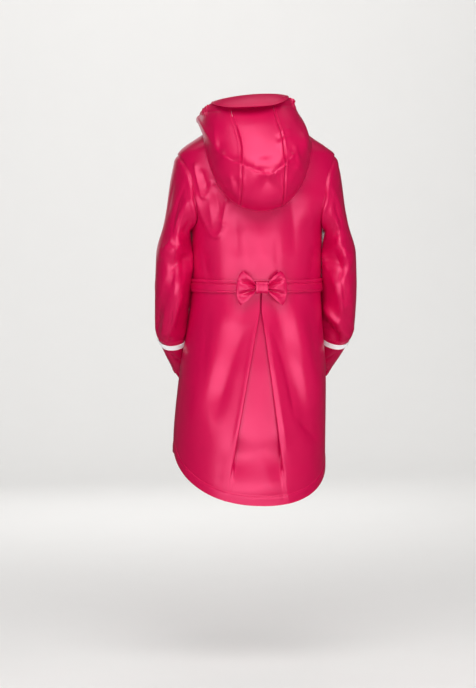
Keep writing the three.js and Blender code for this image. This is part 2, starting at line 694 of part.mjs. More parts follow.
// One loop of the bow: the cloth runs out from the knot, turns and comes back against the waistband.
function bowLoop(side) {
  const pathSteps = 12;
  const heightSteps = 6;
  const rootX = 2;
  const points = spread(-1, 1, heightSteps).map((h) =>
    spread(0, 1, pathSteps).map((t) => {
      const reach = BOW_HALF_WIDTH - rootX - 11 * h * h - 2 * h;
      const x = rootX + reach * (1 - abs(2 * t - 1) ** 1.6);
      const free = max(0, x - KNOT_HALF_WIDTH - 1.5) / (BOW_HALF_WIDTH - KNOT_HALF_WIDTH - 1.5);
      const z = BOW_Z + h * lerp(BOW_ROOT_HEIGHT, BOW_TIP_HEIGHT, pow(free, 0.75));
      const pleat = t < 0.5 ? 2.4 * cos(h * PI * 2) * (1 - free) * step(free * 5) : 0;
      const thick = lerp(BOW_ROOT_THICKNESS, BOW_THICKNESS, step(free * 2.2)) / 2;
      const y = bowBack() + 6.6 + thick * cos(t * PI) + pleat;
      return new THREE.Vector3(side * x, max(y, bowBack() + 0.4), z);
    }),
  );
  const ordered = side > 0 ? points.map((row) => [...row].reverse()) : points;
  return wallGeometry(cellsFromPoints(ordered), TRIM);
}

// The knot is a strip wrapped round the middle of the bow.
function bowKnot() {
  const around = 12;
  const loop = spread(-1, 1, 4).map((w) =>
    Array.from({ length: around }, (_, i) => {
      const a = (2 * PI * (i + 0.5)) / around;
      const squeeze = 1 - 0.08 * (1 - w * w);
      const y = bowBack() + 6.6 + 8.2 * softPower(cos(a), 0.6);
      const z = BOW_Z + KNOT_HALF_HEIGHT * squeeze * softPower(sin(a), 0.6);
      return new THREE.Vector3(KNOT_HALF_WIDTH * w, y, z);
    }),
  );
  return wallGeometry(cellsFromPoints(loop, true), TRIM, true);
}

// Front closure: a flap over the edges of the two fronts, closed with press studs.

function flapCells() {
  const rows = FRONT_ROWS.map(({ z }) => z(-PI / 2));
  rows[0] += 1;
  rows[rows.length - 1] -= 3;
  const grid = rows.map((z) =>
    spread(-FLAP_HALF_WIDTH, FLAP_HALF_WIDTH, 3).map((x) => [-PI / 2 + x / body.half(z), z]),
  );
  return raised(cellsOf(bodyPoint, grid, 1e-3, 0.05), ON_TOP + CLOTH);
}

function snap(number) {
  const z = SNAP_TOP_Z - SNAP_PITCH * number;
  const angle = -PI / 2;
  const n = normalOf(bodyPoint, angle, z, 1e-3, 0.05);
  const profile = [
    new THREE.Vector2(0, 0),
    new THREE.Vector2(SNAP_RADIUS - 0.4, 0),
    new THREE.Vector2(SNAP_RADIUS, 0.5),
    new THREE.Vector2(SNAP_RADIUS - 0.8, SNAP_HEIGHT - 0.4),
    new THREE.Vector2(SNAP_RADIUS - 2.2, SNAP_HEIGHT),
    new THREE.Vector2(0, SNAP_HEIGHT - 0.3),
  ];
  const geometry = new THREE.LatheGeometry(profile, 12);
  const lift = ON_TOP + CLOTH + SEAM + 0.2;
  const at = bodyPoint(angle, z).addScaledVector(n, lift);
  const turn = new THREE.Quaternion().setFromUnitVectors(new THREE.Vector3(0, 1, 0), n);
  return geometry.applyQuaternion(turn).translate(at.x, at.y, at.z);
}

// The object

const cloth = () => new THREE.MeshStandardMaterial({ color: PINK, roughness: 0.42, metalness: 0 });
const trimCloth = () => new THREE.MeshStandardMaterial({ color: PINK_DARK, roughness: 0.42, metalness: 0 });
const tapeFinish = () => new THREE.MeshStandardMaterial({ color: SILVER, roughness: 0.35, metalness: 0.1 });

const raincoat = new THREE.Group();
raincoat.name = "raincoat";

function addPiece(name, geometry, material) {
  const mesh = new THREE.Mesh(geometry, material);
  mesh.name = name;
  raincoat.add(mesh);
}

addPiece("bodice_back", bodiceBack(), cloth());
addPiece("skirt_back", skirtBack(), cloth());
addPiece("waistband_back", waistband(), cloth());
for (const [side, word] of [[1, "left"], [-1, "right"]]) {
  addPiece("front_" + word, front(side), cloth());
  addPiece("sleeve_" + word, wallGeometry(onSide(sleeveCells(side), side), CLOTH, true), cloth());
  addPiece("reflective_tape_" + word, wallGeometry(onSide(tapeCells(side), side), TRIM, true), tapeFinish());
  addPiece("hood_side_" + word, hoodSide(side), cloth());
  addPiece("bow_loop_" + word, bowLoop(side), cloth());
}
addPiece("hood_centre", hoodCentre(), cloth());
addPiece("hood_peak", peak(), cloth());
addPiece("bow_knot", bowKnot(), trimCloth());
addPiece("closure_flap", wallGeometry(flapCells(), CLOTH), cloth());
for (let i = 0; i < SNAP_COUNT; i++) addPiece("press_stud_" + (i + 1), snap(i), trimCloth());

export default raincoat;
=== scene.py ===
import math

import bpy
import numpy as np
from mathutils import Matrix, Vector


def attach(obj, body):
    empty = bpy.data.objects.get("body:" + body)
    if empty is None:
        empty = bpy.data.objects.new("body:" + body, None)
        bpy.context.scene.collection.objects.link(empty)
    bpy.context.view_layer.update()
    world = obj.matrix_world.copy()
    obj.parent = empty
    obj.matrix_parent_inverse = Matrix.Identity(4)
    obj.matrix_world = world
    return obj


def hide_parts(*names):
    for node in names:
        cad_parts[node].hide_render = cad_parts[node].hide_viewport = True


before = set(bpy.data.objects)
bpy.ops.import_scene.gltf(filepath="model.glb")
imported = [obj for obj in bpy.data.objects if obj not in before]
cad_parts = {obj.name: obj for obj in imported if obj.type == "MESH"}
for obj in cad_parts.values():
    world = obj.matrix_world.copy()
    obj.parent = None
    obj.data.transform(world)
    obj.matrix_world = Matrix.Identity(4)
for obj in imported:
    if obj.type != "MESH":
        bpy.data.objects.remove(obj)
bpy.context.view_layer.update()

bl_info = {
    "name": "Rain jacket with a bow",
    "version": (1, 0, 0),
    "blender": (4, 5, 0),
    "location": "View3D > Sidebar > Rain jacket",
    "description": "Dresses the solids of a child's rain jacket as coated cloth with stitched seams",
    "category": "Add Mesh",
}

# Creases. In the tables of the coat and the hood x and z are millimetres of the back or front view. In
# those of the sleeves a is the angle round the arm and s the section, or millimetres below the armhole
# seam's lower end for the cap. bend bows the line, skew makes one flank gentler and fade is the share
# of its length over which each end runs out.

BACK_CREASES = (
    # x0, z0, x1, z1, bend, width, depth, skew, fade
    (130, -70, 113, -150, -3, 4.5, 3.2, 0.2, 0.15),
    (115, -150, 96, -108, -4, 4.5, 2.8, 0, 0.2),
    (120, -84, 107, -128, 0, 6, -2.8, 0, 0.3),
    (129, -130, 103, -206, -4, 5, 3.6, 0.2, 0.15),
    (108, -194, 86, -228, -4, 5, 3.0, 0, 0.25),
    (92, -228, 73, -190, -4, 5, 3.0, 0, 0.25),
    (77, -208, 66, -140, 2, 4.5, 3.0, 0, 0.25),
    (98, -118, 83, -190, 2, 8, -3.0, 0, 0.3),
    (104, -140, 94, -214, 0, 4, 1.8, 0, 0.3),
    (54, -168, 48, -275, 0, 12, -1.8, 0, 0.35),
    (-64, -120, -72, -275, 0, 13, -1.8, 0, 0.35),
    (6, -185, -2, -300, 0, 18, 1.6, 0, 0.35),
    (114, -235, 98, -322, -4, 11, -3.4, 0.2, 0.35),
    (-112, -240, -96, -322, 4, 12, -3.0, 0.2, 0.35),
    (-96, -150, -112, -262, 3, 12, 2.0, 0, 0.35),
    (30, -208, 22, -300, 0, 10, -1.2, 0, 0.4),
    (-30, -206, -34, -305, 0, 11, -1.2, 0, 0.4),
    # beside the pleat
    (10, -372, 62, -660, 2, 8, 3.0, 0.3, 0.2),
    (-8, -372, -50, -660, -2, 9, 3.4, 0.3, 0.2),
    (24, -385, 98, -600, -8, 20, -4.2, 0, 0.3),
    (-16, -392, -70, -604, 8, 13, -4.4, 0.3, 0.3),
    (-62, -576, -126, -650, 4, 12, -3.2, 0, 0.4),
    (-52, -420, -104, -610, 8, 17, 3.0, 0, 0.35),
    (64, -400, 112, -640, -6, 22, 2.2, 0, 0.35),
    (104, -352, 118, -560, 0, 16, -2.2, 0, 0.35),
    (-98, -352, -122, -520, 0, 15, -2.4, 0, 0.35),
    (4, -640, -20, -748, 0, 24, 2.2, 0, 0.35),
    (76, -640, 92, -735, 0, 18, -1.6, 0, 0.4),
)
FRONT_CREASES = (
    (96, -96, 66, -190, 4, 12, -3.6, 0, 0.3),
    (72, -120, 58, -262, 0, 10, 2.4, 0, 0.35),
    (-92, -104, -70, -204, -4, 12, -3.4, 0, 0.3),
    (-66, -130, -60, -270, 0, 11, 2.2, 0, 0.35),
    (44, -200, 62, -420, 0, 17, -2.8, 0, 0.35),
    (-48, -214, -58, -436, 0, 16, -2.8, 0, 0.35),
    (86, -330, 108, -600, 0, 20, 3.0, 0, 0.35),
    (-88, -350, -104, -610, 0, 20, 3.0, 0, 0.35),
    (52, -430, 74, -640, 0, 18, -3.4, 0, 0.35),
    (-50, -440, -66, -650, 0, 18, -3.4, 0, 0.35),
    (106, -226, 84, -300, 0, 12, -2.6, 0, 0.35),
    (-106, -230, -86, -300, 0, 12, -2.6, 0, 0.35),
)
SLEEVE_CREASES_LEFT = (
    # a0, s0, a1, s1, bend, width, depth, skew, fade
    (70, 0.0, 44, 0.85, 2, 7, 3.4, 0.2, 0.3),
    (118, 0.1, 84, 0.75, 0, 7, 3.0, 0.2, 0.3),
    (146, 0.4, 154, 2.1, 0, 9, 3.6, 0, 0.3),
    (128, 0.6, 120, 2.4, 0, 8, -3.6, 0, 0.3),
    (104, 1.0, 66, 2.6, 3, 10, -3.2, 0, 0.3),
    (60, 1.6, 30, 3.4, 0, 10, 2.6, 0, 0.3),
    (130, 2.4, 96, 4.6, -4, 10, 3.8, 0.2, 0.3),
    (104, 2.6, 74, 4.8, -3, 8, -3.4, 0, 0.3),
    (168, 2.2, 150, 4.2, 0, 10, -3.0, 0, 0.3),
    (60, 3.2, 48, 5.3, 0, 9, 3.0, 0, 0.3),
    (36, 3.6, 14, 5.2, 0, 9, -2.6, 0, 0.3),
    (150, 4.4, 120, 5.6, 0, 8, 3.0, 0, 0.3),
    (90, 4.9, 60, 5.7, 0, 6, -2.4, 0, 0.3),
    (250, 0.8, 310, 2.4, 0, 10, -3.4, 0, 0.3),
    (230, 2.6, 290, 4.2, 0, 10, 3.0, 0, 0.3),
    (320, 1.0, 350, 3.2, 0, 10, 2.4, 0, 0.3),
    (210, 3.8, 300, 5.2, 0, 9, -3.2, 0, 0.3),
    (60, 6.4, 100, 7.6, 0, 6, -2.2, 0, 0.3),
    (150, 6.3, 190, 7.8, 0, 6, 2.2, 0, 0.3),
    (250, 6.4, 280, 7.8, 0, 6, -2.2, 0, 0.3),
    (330, 6.5, 350, 8.0, 0, 6, 2.0, 0, 0.3),
)
SLEEVE_CREASES_RIGHT = (
    (120, 0.0, 60, 0.7, 3, 7, 3.4, 0.2, 0.3),
    (150, 0.5, 140, 1.8, 0, 9, 3.4, 0, 0.3),
    (124, 0.4, 96, 1.7, 0, 8, -3.6, 0, 0.3),
    (84, 0.6, 50, 1.9, 3, 9, 3.0, 0, 0.3),
    (138, 1.6, 104, 3.2, -3, 9, 3.2, 0.2, 0.3),
    (108, 1.7, 76, 3.4, -2, 9, -3.0, 0, 0.3),
    (70, 2.0, 40, 4.0, 0, 10, 2.6, 0, 0.3),
    (156, 3.3, 88, 4.3, 4, 8, 4.4, 0.3, 0.3),
    (150, 4.2, 84, 5.0, 4, 8, -5.0, 0.2, 0.3),
    (60, 3.8, 20, 5.2, 0, 9, 3.2, 0, 0.3),
    (96, 4.9, 60, 5.6, 0, 7, 2.8, 0, 0.3),
    (170, 2.2, 160, 3.6, 0, 9, -2.6, 0, 0.3),
    (250, 0.8, 310, 2.4, 0, 10, -3.4, 0, 0.3),
    (230, 2.6, 290, 4.2, 0, 10, 3.0, 0, 0.3),
    (320, 1.0, 350, 3.2, 0, 10, 2.4, 0, 0.3),
    (210, 3.8, 300, 5.2, 0, 9, -3.2, 0, 0.3),
    (70, 6.4, 110, 7.7, 0, 6, -2.2, 0, 0.3),
    (150, 6.4, 170, 8.0, 0, 6, 2.2, 0, 0.3),
    (240, 6.4, 290, 7.8, 0, 6, -2.2, 0, 0.3),
)
CAP_CREASES_LEFT = (
    (92, -120, 66, -8, 4, 7, 3.4, 0.2, 0.3),
    (60, -118, 44, -30, 3, 8, 2.2, 0, 0.3),
    (128, -100, 112, -12, 3, 7, -3.0, 0, 0.3),
    (30, -96, 22, -18, 0, 9, -1.8, 0, 0.35),
    (290, -112, 310, -20, 0, 9, -2.6, 0, 0.35),
    (250, -96, 262, -14, 0, 8, 2.4, 0, 0.35),
)
CAP_CREASES_RIGHT = (
    (74, -122, 50, -26, 3, 7, 2.8, 0.2, 0.3),
    (110, -104, 84, -10, 4, 7, 3.2, 0.2, 0.3),
    (92, -92, 66, -14, 3, 8, -2.8, 0, 0.3),
    (28, -100, 18, -20, 0, 9, -1.8, 0, 0.35),
    (290, -112, 310, -20, 0, 9, -2.6, 0, 0.35),
    (250, -96, 262, -14, 0, 8, 2.4, 0, 0.35),
)
HOOD_CREASES = (
    # x0, z0, x1, z1, bend, width, depth, skew, fade
    (96, -52, -9, -108, -4, 22, 8.5, -0.55, 0.2),
    (-2, -110, -66, -50, -4, 20, 8.5, -0.55, 0.2),
    (62, -70, 14, -92, -3, 8, 3.0, 0.3, 0.25),
    (20, -88, -9, -104, -2, 7, 3.2, 0.3, 0.3),
    (-5, -104, -26, -94, -2, 6, 3.2, 0.3, 0.3),
    (-20, -98, -48, -70, -2, 7, 3.2, 0.3, 0.25),
    (0, -60, -4, -92, 0, 16, -2.2, 0, 0.4),
    (-20, -25, -60, -6, 2, 7, 2.0, 0.2, 0.3),
    (-22, -46, -60, -20, 2, 7, 2.0, 0.2, 0.3),
    (-22, -36, -56, -14, 2, 6, -1.4, 0, 0.3),
    (-62, -36, -73, -76, -2, 7, 3.0, 0.1, 0.35),
    (-54, -40, -66, -82, -2, 6, -2.4, 0, 0.35),
    (-54, -84, -86, -104, 3, 9, 3.0, 0.2, 0.35),
    (-30, -112, -62, -122, 0, 12, 2.0, 0, 0.4),
    (72, -92, 60, -146, 3, 6, 3.6, 0, 0.35),
    (58, -100, 50, -142, 2, 6, -3.4, 0, 0.35),
    (48, -98, 42, -136, 2, 5, 2.6, 0, 0.35),
    (86, -20, 82, -96, 0, 10, -2.4, 0, 0.35),
    (96, 10, 92, -60, 0, 7, 2.4, 0, 0.35),
    (-80, -10, -92, -60, 0, 8, 2.6, 0, 0.35),
    (20, 30, 14, -50, 0, 20, 1.2, 0, 0.4),
)

# Numbers and curves. Lengths in this part are millimetres, in the part's frame.


def lerp(a, b, t):
    return a + (b - a) * t


def ease(v):
    """0 below 0, 1 above 1, smooth between."""
    t = np.clip(v, 0, 1)
    return t * t * (3 - 2 * t)


def soft_power(v, p):
    return np.sign(v) * np.abs(v) ** p


def unit(v):
    return v / np.maximum(np.linalg.norm(v, axis=-1, keepdims=True), 1e-9)


def table_curve(rows, key, column):
    """A smooth curve through the rows of a table that never overshoots them."""
    rows = sorted(rows, key=lambda row: row[key])
    at = np.array([row[key] for row in rows], float)
    value = np.array([row[column] for row in rows], float)
    slope = np.diff(value) / np.diff(at)
    tangent = np.empty(len(at))
    tangent[0], tangent[-1] = slope[0], slope[-1]
    for i in range(1, len(at) - 1):
        before, after = slope[i - 1], slope[i]
        same_way = before * after > 0
        tangent[i] = 2 * before * after / (before + after) if same_way else 0

    def curve(k):
        k = np.clip(k, at[0], at[-1])
        i = np.clip(np.searchsorted(at, k) - 1, 0, len(at) - 2)
        width = at[i + 1] - at[i]
        t = (k - at[i]) / width
        return (
            (2 * t**3 - 3 * t**2 + 1) * value[i]
            + (t**3 - 2 * t**2 + t) * width * tangent[i]
            + (3 * t**2 - 2 * t**3) * value[i + 1]
            + (t**3 - t**2) * width * tangent[i + 1]
        )

    return curve


def table_curves(columns, rows, key):
    named = [dict(zip(columns, row)) for row in rows]
    return {c: table_curve(named, key, c) for c in columns if c != key}


def fold_share(px, py, x0, y0, x1, y1, width):
    """How much a point is inside a broad fold along a line that fades at its ends."""
    dx, dy = x1 - x0, y1 - y0
    along = ((px - x0) * dx + (py - y0) * dy) / (dx * dx + dy * dy)
    off = np.hypot(px - x0 - dx * along, py - y0 - dy * along)
    ends = ease(along / 0.35 + 0.5) * ease((1 - along) / 0.35 + 0.5)
    return ends * np.exp(-((off / width) ** 2))


CREST = 0.3  # how round the crest of a crease is, as a share of its width


def crease_height(px, py, table, wrap=0.0):
    """Soft ridges and troughs. Each row is a line from (x0, y0) to (x1, y1) that bows sideways by bend,
    with a width and a depth (negative for a trough). skew makes the side on the left of the line
    gentler and the other steeper, and fade is the share of its length over which each end runs out."""
    out = np.zeros(np.broadcast(px, py).shape)
    for x0, y0, x1, y1, bend, width, depth, skew, fade in table:
        dx, dy = x1 - x0, y1 - y0
        length = math.hypot(dx, dy)
        for shift in (-wrap, 0.0, wrap) if wrap else (0.0,):
            qx, qy = px + shift - x0, py - y0
            along = (qx * dx + qy * dy) / length**2
            inside = np.clip(along, 0, 1)
            off = (qx * dy - qy * dx) / length - bend * 4 * inside * (1 - inside)
            off = np.abs(off) / (width * np.where(off > 0, 1 + skew, 1 - skew))
            ends = ease(along / fade) * ease((1 - along) / fade)
            out += depth * ends * np.exp(-1.25 * (np.sqrt(off**2 + CREST**2) - CREST))
    return out


# Coat body


BODY_COLUMNS = ("z", "half", "back", "front", "shift")
BODY = (
    (12, 66, 58, 52, 0),
    (2, 73, 63, 54, 0),
    (-12, 102, 72, 58, 1),
    (-25, 121, 79, 62, 2),
    (-38, 141, 86, 66, 2),
    (-55, 160, 92, 70, 0),
    (-130, 185, 106, 94, 0),
    (-210, 135, 112, 106, 0),
    (-250, 134, 111, 108, 0),
    (-320, 133, 107, 109, 0),
    (-400, 138, 116, 113, 2),
    (-500, 150, 131, 120, 7),
    (-640, 156, 147, 132, 14),
    (-790, 157, 156, 138, 16),
)
ROUND = 0.9
SHOULDER_Z = -55
ARMPIT_Z = -210
WAIST_Z = -331
BAND_TOP_Z = -307
BAND_BOTTOM_Z = -334
SIDE_HEM_Z = -664
BACK_HEM_DROP = 92
HEM_TWIST = math.radians(8)
BACK_NECK_RISE = 10
FRONT_NECK_DROP = 45
ARMHOLE_BACK = math.radians(47)
ARMHOLE_FRONT = math.radians(44)
SEAM = 0.3
SEAM_ANGLE = 0.0016

BODY_FOLDS = (
    # side, x0, z0, x1, z1, width, depth; side 1 is the back
    (1, 34, -352, 96, -560, 20, -5),
    (1, 58, -352, 138, -600, 26, 5),
    (1, -32, -352, -96, -600, 19, -5.5),
    (1, -60, -352, -128, -560, 24, 4.5),
    (1, 62, -120, 52, -300, 22, -3),
    (1, -64, -130, -60, -300, 24, -3),
    (-1, 60, -330, 96, -640, 26, -5),
    (-1, -58, -340, -84, -640, 26, -5),
    (-1, 84, -120, 66, -290, 22, -4),
    (-1, -84, -110, -64, -280, 22, -4),
)

body = table_curves(BODY_COLUMNS, BODY, "z")


def body_plain(angle, z):
    """The coat's section: angle 0 is the wearer's left, 90 degrees the back."""
    angle, z = np.broadcast_arrays(angle, z)
    c, s = soft_power(np.cos(angle), ROUND), soft_power(np.sin(angle), ROUND)
    depth = np.where(s >= 0, body["back"](z), body["front"](z))
    return np.stack([body["shift"](z) + body["half"](z) * c, depth * s, z * 1.0], -1)


def body_point(angle, z, creases=True):
    p = body_plain(angle, z)
    x, z = p[..., 0], p[..., 2]
    side = np.where(np.sin(angle) >= 0, 1, -1)
    out = np.zeros(x.shape)
    for row_side, x0, z0, x1, z1, width, depth in BODY_FOLDS:
        out += (side == row_side) * depth * fold_share(x, z, x0, z0, x1, z1, width)
    if creases:
        out += (side > 0) * crease_height(x, z, BACK_CREASES)
        out += (side < 0) * crease_height(x, z, FRONT_CREASES)
    out *= ease(np.abs(np.sin(angle)) * 2.2 - 0.3)
    centre = np.stack([body["shift"](z), 0 * z, z], -1)
    return p + unit(p - centre) * out[..., None]


def coat_back_at(x, z):
    share = np.minimum(1, np.abs(x - body["shift"](z)) / body["half"](z))
    return body["back"](z) * (1 - share ** (2 / ROUND)) ** (ROUND / 2)


def coat_share(x, y, z):
    across = np.abs(x - body["shift"](z)) / body["half"](z)
    along = np.abs(y) / np.where(y >= 0, body["back"](z), body["front"](z))
    return (across ** (2 / ROUND) + along ** (2 / ROUND)) ** (ROUND / 2)


def clear_of_coat(p, gap):
    """Moves points straight out of the coat until they are a gap away from it."""
    shape = p.shape
    out = p.reshape(-1, 3).copy()
    gap = np.broadcast_to(gap, shape[:-1]).reshape(-1)
    h = 0.5
    live = np.arange(len(out))
    for _ in range(6):
        x, y, z = out[live].T
        slope = np.stack(
            [
                coat_share(x + h, y, z) - coat_share(x - h, y, z),
                coat_share(x, y + h, z) - coat_share(x, y - h, z),
                coat_share(x, y, z + h) - coat_share(x, y, z - h),
            ],
            -1,
        ) / (2 * h)
        steep = np.linalg.norm(slope, axis=1)
        lack = gap[live] - (coat_share(x, y, z) - 1) / steep
        near = lack >= 0.02
        out[live[near]] += slope[near] * (lack / steep)[near, None]
        live = live[near]
        if not len(live):
            break
    return out.reshape(shape)


def back_angle_at(x, z):
    share = np.clip((x - body["shift"](z)) / body["half"](z), -1, 1)
    return np.arccos(soft_power(share, 1 / ROUND))


def armhole_at(turn):
    """The armhole as a loop: turn 0 is the shoulder point, 90 degrees the back, 180 the armpit."""
    reach = np.where(np.sin(turn) >= 0, ARMHOLE_BACK, ARMHOLE_FRONT)
    middle, half = (SHOULDER_Z + ARMPIT_Z) / 2, (SHOULDER_Z - ARMPIT_Z) / 2
    return reach * np.sin(turn), middle + half * np.cos(turn)


def hem_z(angle):
    return SIDE_HEM_Z - BACK_HEM_DROP * np.maximum(0, np.sin(angle - HEM_TWIST)) ** 0.92


def neck_z(angle):
    s = np.sin(angle)
    back = 2 + (BACK_NECK_RISE - 2) * s * s
    front = 2 - (FRONT_NECK_DROP + 2) * s**6
    return np.where(s >= 0, back, front)


def upper_rows(side_zs, back, step_mm):
    """Rows of a panel up to the neckline, as (edge angle, height or share, is a share)."""
    rows = [(0.0, z, False) for z in side_zs]
    count = max(12, round(math.pi / 2 * (SHOULDER_Z - ARMPIT_Z) / step_mm))
    for i in range(count + 1):
        turn = math.pi * (1 - i / count)
        edge, z = armhole_at(turn if back else -turn)
        rows.append((abs(float(edge)), float(z), False))
    count = max(4, round(70 / step_mm))
    rows += [(0.0, i / count, True) for i in range(1, count + 1)]
    return rows


def row_height(row, angle):
    _, z, is_share = row
    return lerp(SHOULDER_Z, neck_z(angle), z) if is_share else np.full(np.shape(angle), float(z))


# Inverted pleat


PLEAT_TOP_Z = -369
PLEAT_HALF_AT_TOP = 0.9
PLEAT_SPREAD = 0.158
PLEAT_CLOTH = 54
PLEAT_MIDDLE_MIN = 6
PLEAT_BEND = 2.2
PLEAT_OPEN_BEND = 6
PLEAT_DISSOLVE_Z = -610
PLEAT_DISSOLVE_LENGTH = 125
PLEAT_SHIFT = 10
PLEAT_SWING = 0.25
BEND_STEPS = 7
MIDDLE_STEPS = 7
UNDER_STEPS = 14


def pleat_centre(z):
    return PLEAT_SHIFT * float(np.clip((WAIST_Z - z) / 360, 0, 1.1))


def pleat_path(z):
    """Half of the pleat's section as distances from its centre and depths below the surface."""
    down = max(0, PLEAT_TOP_Z - z)
    edge = PLEAT_HALF_AT_TOP + PLEAT_SPREAD * down
    middle = max((PLEAT_CLOTH - edge) / 2, PLEAT_MIDDLE_MIN)
    opened = float(ease((PLEAT_DISSOLVE_Z - z) / PLEAT_DISSOLVE_LENGTH))
    turn = lerp(math.pi, 0.12 * math.pi, opened)
    r = lerp(PLEAT_BEND, PLEAT_OPEN_BEND, opened)
    start = edge + r * math.sin(min(turn, math.pi / 2))
    path = []
    for i in range(BEND_STEPS + 1):
        a = turn * i / BEND_STEPS
        path.append((start - r * math.sin(a), r * (1 - math.cos(a))))
    last_q, last_depth = path[-1]
    for i in range(1, MIDDLE_STEPS):
        share = i / MIDDLE_STEPS
        q = last_q - middle * math.cos(turn) * share
        path.append((q, last_depth + middle * math.sin(turn) * share * PLEAT_SWING))
    fold_q = last_q - middle * math.cos(turn)
    fold_depth = last_depth + middle * math.sin(turn) * PLEAT_SWING
    for i in range(BEND_STEPS + 1):
        a = turn * (1 - i / BEND_STEPS)
        q = fold_q - r * (math.sin(turn) - math.sin(a))
        path.append((q, fold_depth + r * (1 - math.cos(turn)) - r * (1 - math.cos(a))))
    under_q, under_depth = path[-1]
    for i in range(1, UNDER_STEPS):
        t = i / UNDER_STEPS
        path.append((under_q * (1 - t), under_depth * (1 - 0.18 * float(ease(t)))))
    return path, under_depth * 0.82


# Sleeves


SLEEVE_COLUMNS = ("number", "x", "y", "z", "across", "along", "roll", "lean")
SLEEVE = (
    (0, 166, 4, -224, 30, 55, 28, 0),
    (1, 170, 8, -262, 35, 55, 8, 2),
    (2, 171, 9, -300, 35, 53, 0, 7),
    (3, 172, 3, -338, 35, 51, 0, 15),
    (4, 173, -10, -376, 34, 48, -2, 22),
    (5, 172, -27, -408, 34, 44, -4, 27),
    (6, 166, -42, -432, 31, 38, -8, 29),
    (7, 157, -60, -457, 28, 34, -14, 30),
    (8, 147, -77, -480, 26, 30, -16, 31),
    (9, 138, -92, -502, 23, 26, -16, 32),
)
COAT_CLEAR = 0.9
SLEEVE_TUCK = 7
ARMPIT_TUCK = 11
SLEEVE_RIDGE = 1.22  # above 1 the arm's front and back are ridges, as in a sleeve cut flat
TAPE_ROW = 6
TAPE_HALF = 11 / 2 / 29
CUFF_WAVES = 8
CUFF_WAVE_DEPTH = 1.6
AROUND_MM = 0.75
SECTION_MM = 36
CAP_MM = 130

SLEEVE_FOLDS = (
    # side, a0, s0, a1, s1, width, depth; side 1 is the left sleeve
    (1, 120, 0.1, 30, 1.0, 15, 5),
    (1, 150, 0.9, 70, 1.5, 14, -6),
    (1, 125, 1.9, 60, 5.2, 14, 5),
    (1, 80, 1.4, 20, 4.8, 14, -4),
    (1, 250, 1.2, 320, 3.4, 16, -5),
    (-1, 125, 0.2, 40, 1.2, 15, 5),
    (-1, 150, 1.0, 80, 1.6, 14, -6),
    (-1, 110, 2.0, 95, 3.6, 15, 4),
    (-1, 150, 3.6, 40, 5.3, 13, 6),
    (-1, 150, 4.6, 90, 5.3, 13, -5),
    (-1, 250, 1.2, 320, 3.4, 16, -5),
)

sleeve = table_curves(SLEEVE_COLUMNS, SLEEVE, "number")


def in_mm(table, section_mm):
    """The creases of a sleeve, with angles and sections turned into millimetres."""
    return [
        (a0 * AROUND_MM, s0 * section_mm, a1 * AROUND_MM, s1 * section_mm, *rest)
        for a0, s0, a1, s1, *rest in table
    ]


def sleeve_out(turn, number, side, creases):
    degrees = np.degrees(turn) % 360
    around, along = degrees * AROUND_MM, number * SECTION_MM
    out = np.zeros(np.shape(around))
    for row_side, a0, s0, a1, s1, width, depth in SLEEVE_FOLDS:
        if row_side == side:
            ends = (a0 * AROUND_MM, s0 * SECTION_MM, a1 * AROUND_MM, s1 * SECTION_MM)
            out += depth * fold_share(around, along, *ends, width)
    if creases:
        table = SLEEVE_CREASES_LEFT if side > 0 else SLEEVE_CREASES_RIGHT
        out += crease_height(around, along, in_mm(table, SECTION_MM), wrap=360 * AROUND_MM)
    return out


def sleeve_section(turn, number, side, creases=True):
    """A point of a sleeve below its cap. Turn 0 is the outer side, 90 degrees the back."""
    turn, number = np.broadcast_arrays(turn, number)
    roll, lean = np.radians(sleeve["roll"](number)), np.radians(sleeve["lean"](number))
    gather = ease((number - 7.4) / 1.6) * CUFF_WAVE_DEPTH * np.cos(CUFF_WAVES * turn)
    out = gather + sleeve_out(turn, number, side, creases)
    tuck = SLEEVE_TUCK * ease((6.5 - number) / 2) + ARMPIT_TUCK * np.exp(-(((number - 0.5) / 1.0) ** 2))
    towards_coat = tuck * np.maximum(0, -np.cos(turn)) ** 2
    sharp = lerp(SLEEVE_RIDGE, 1.0, ease((number - 4.5) / 1.5))
    across = (sleeve["across"](number) + out + towards_coat) * soft_power(np.cos(turn), sharp)
    along = (sleeve["along"](number) + out) * soft_power(np.sin(turn), sharp)
    p = np.stack(
        [
            side * (sleeve["x"](number) + across * np.cos(roll)),
            sleeve["y"](number) + along * np.cos(lean),
            sleeve["z"](number) + across * np.sin(roll) - along * np.sin(lean),
        ],
        -1,
    )
    return clear_of_coat(p, COAT_CLEAR)


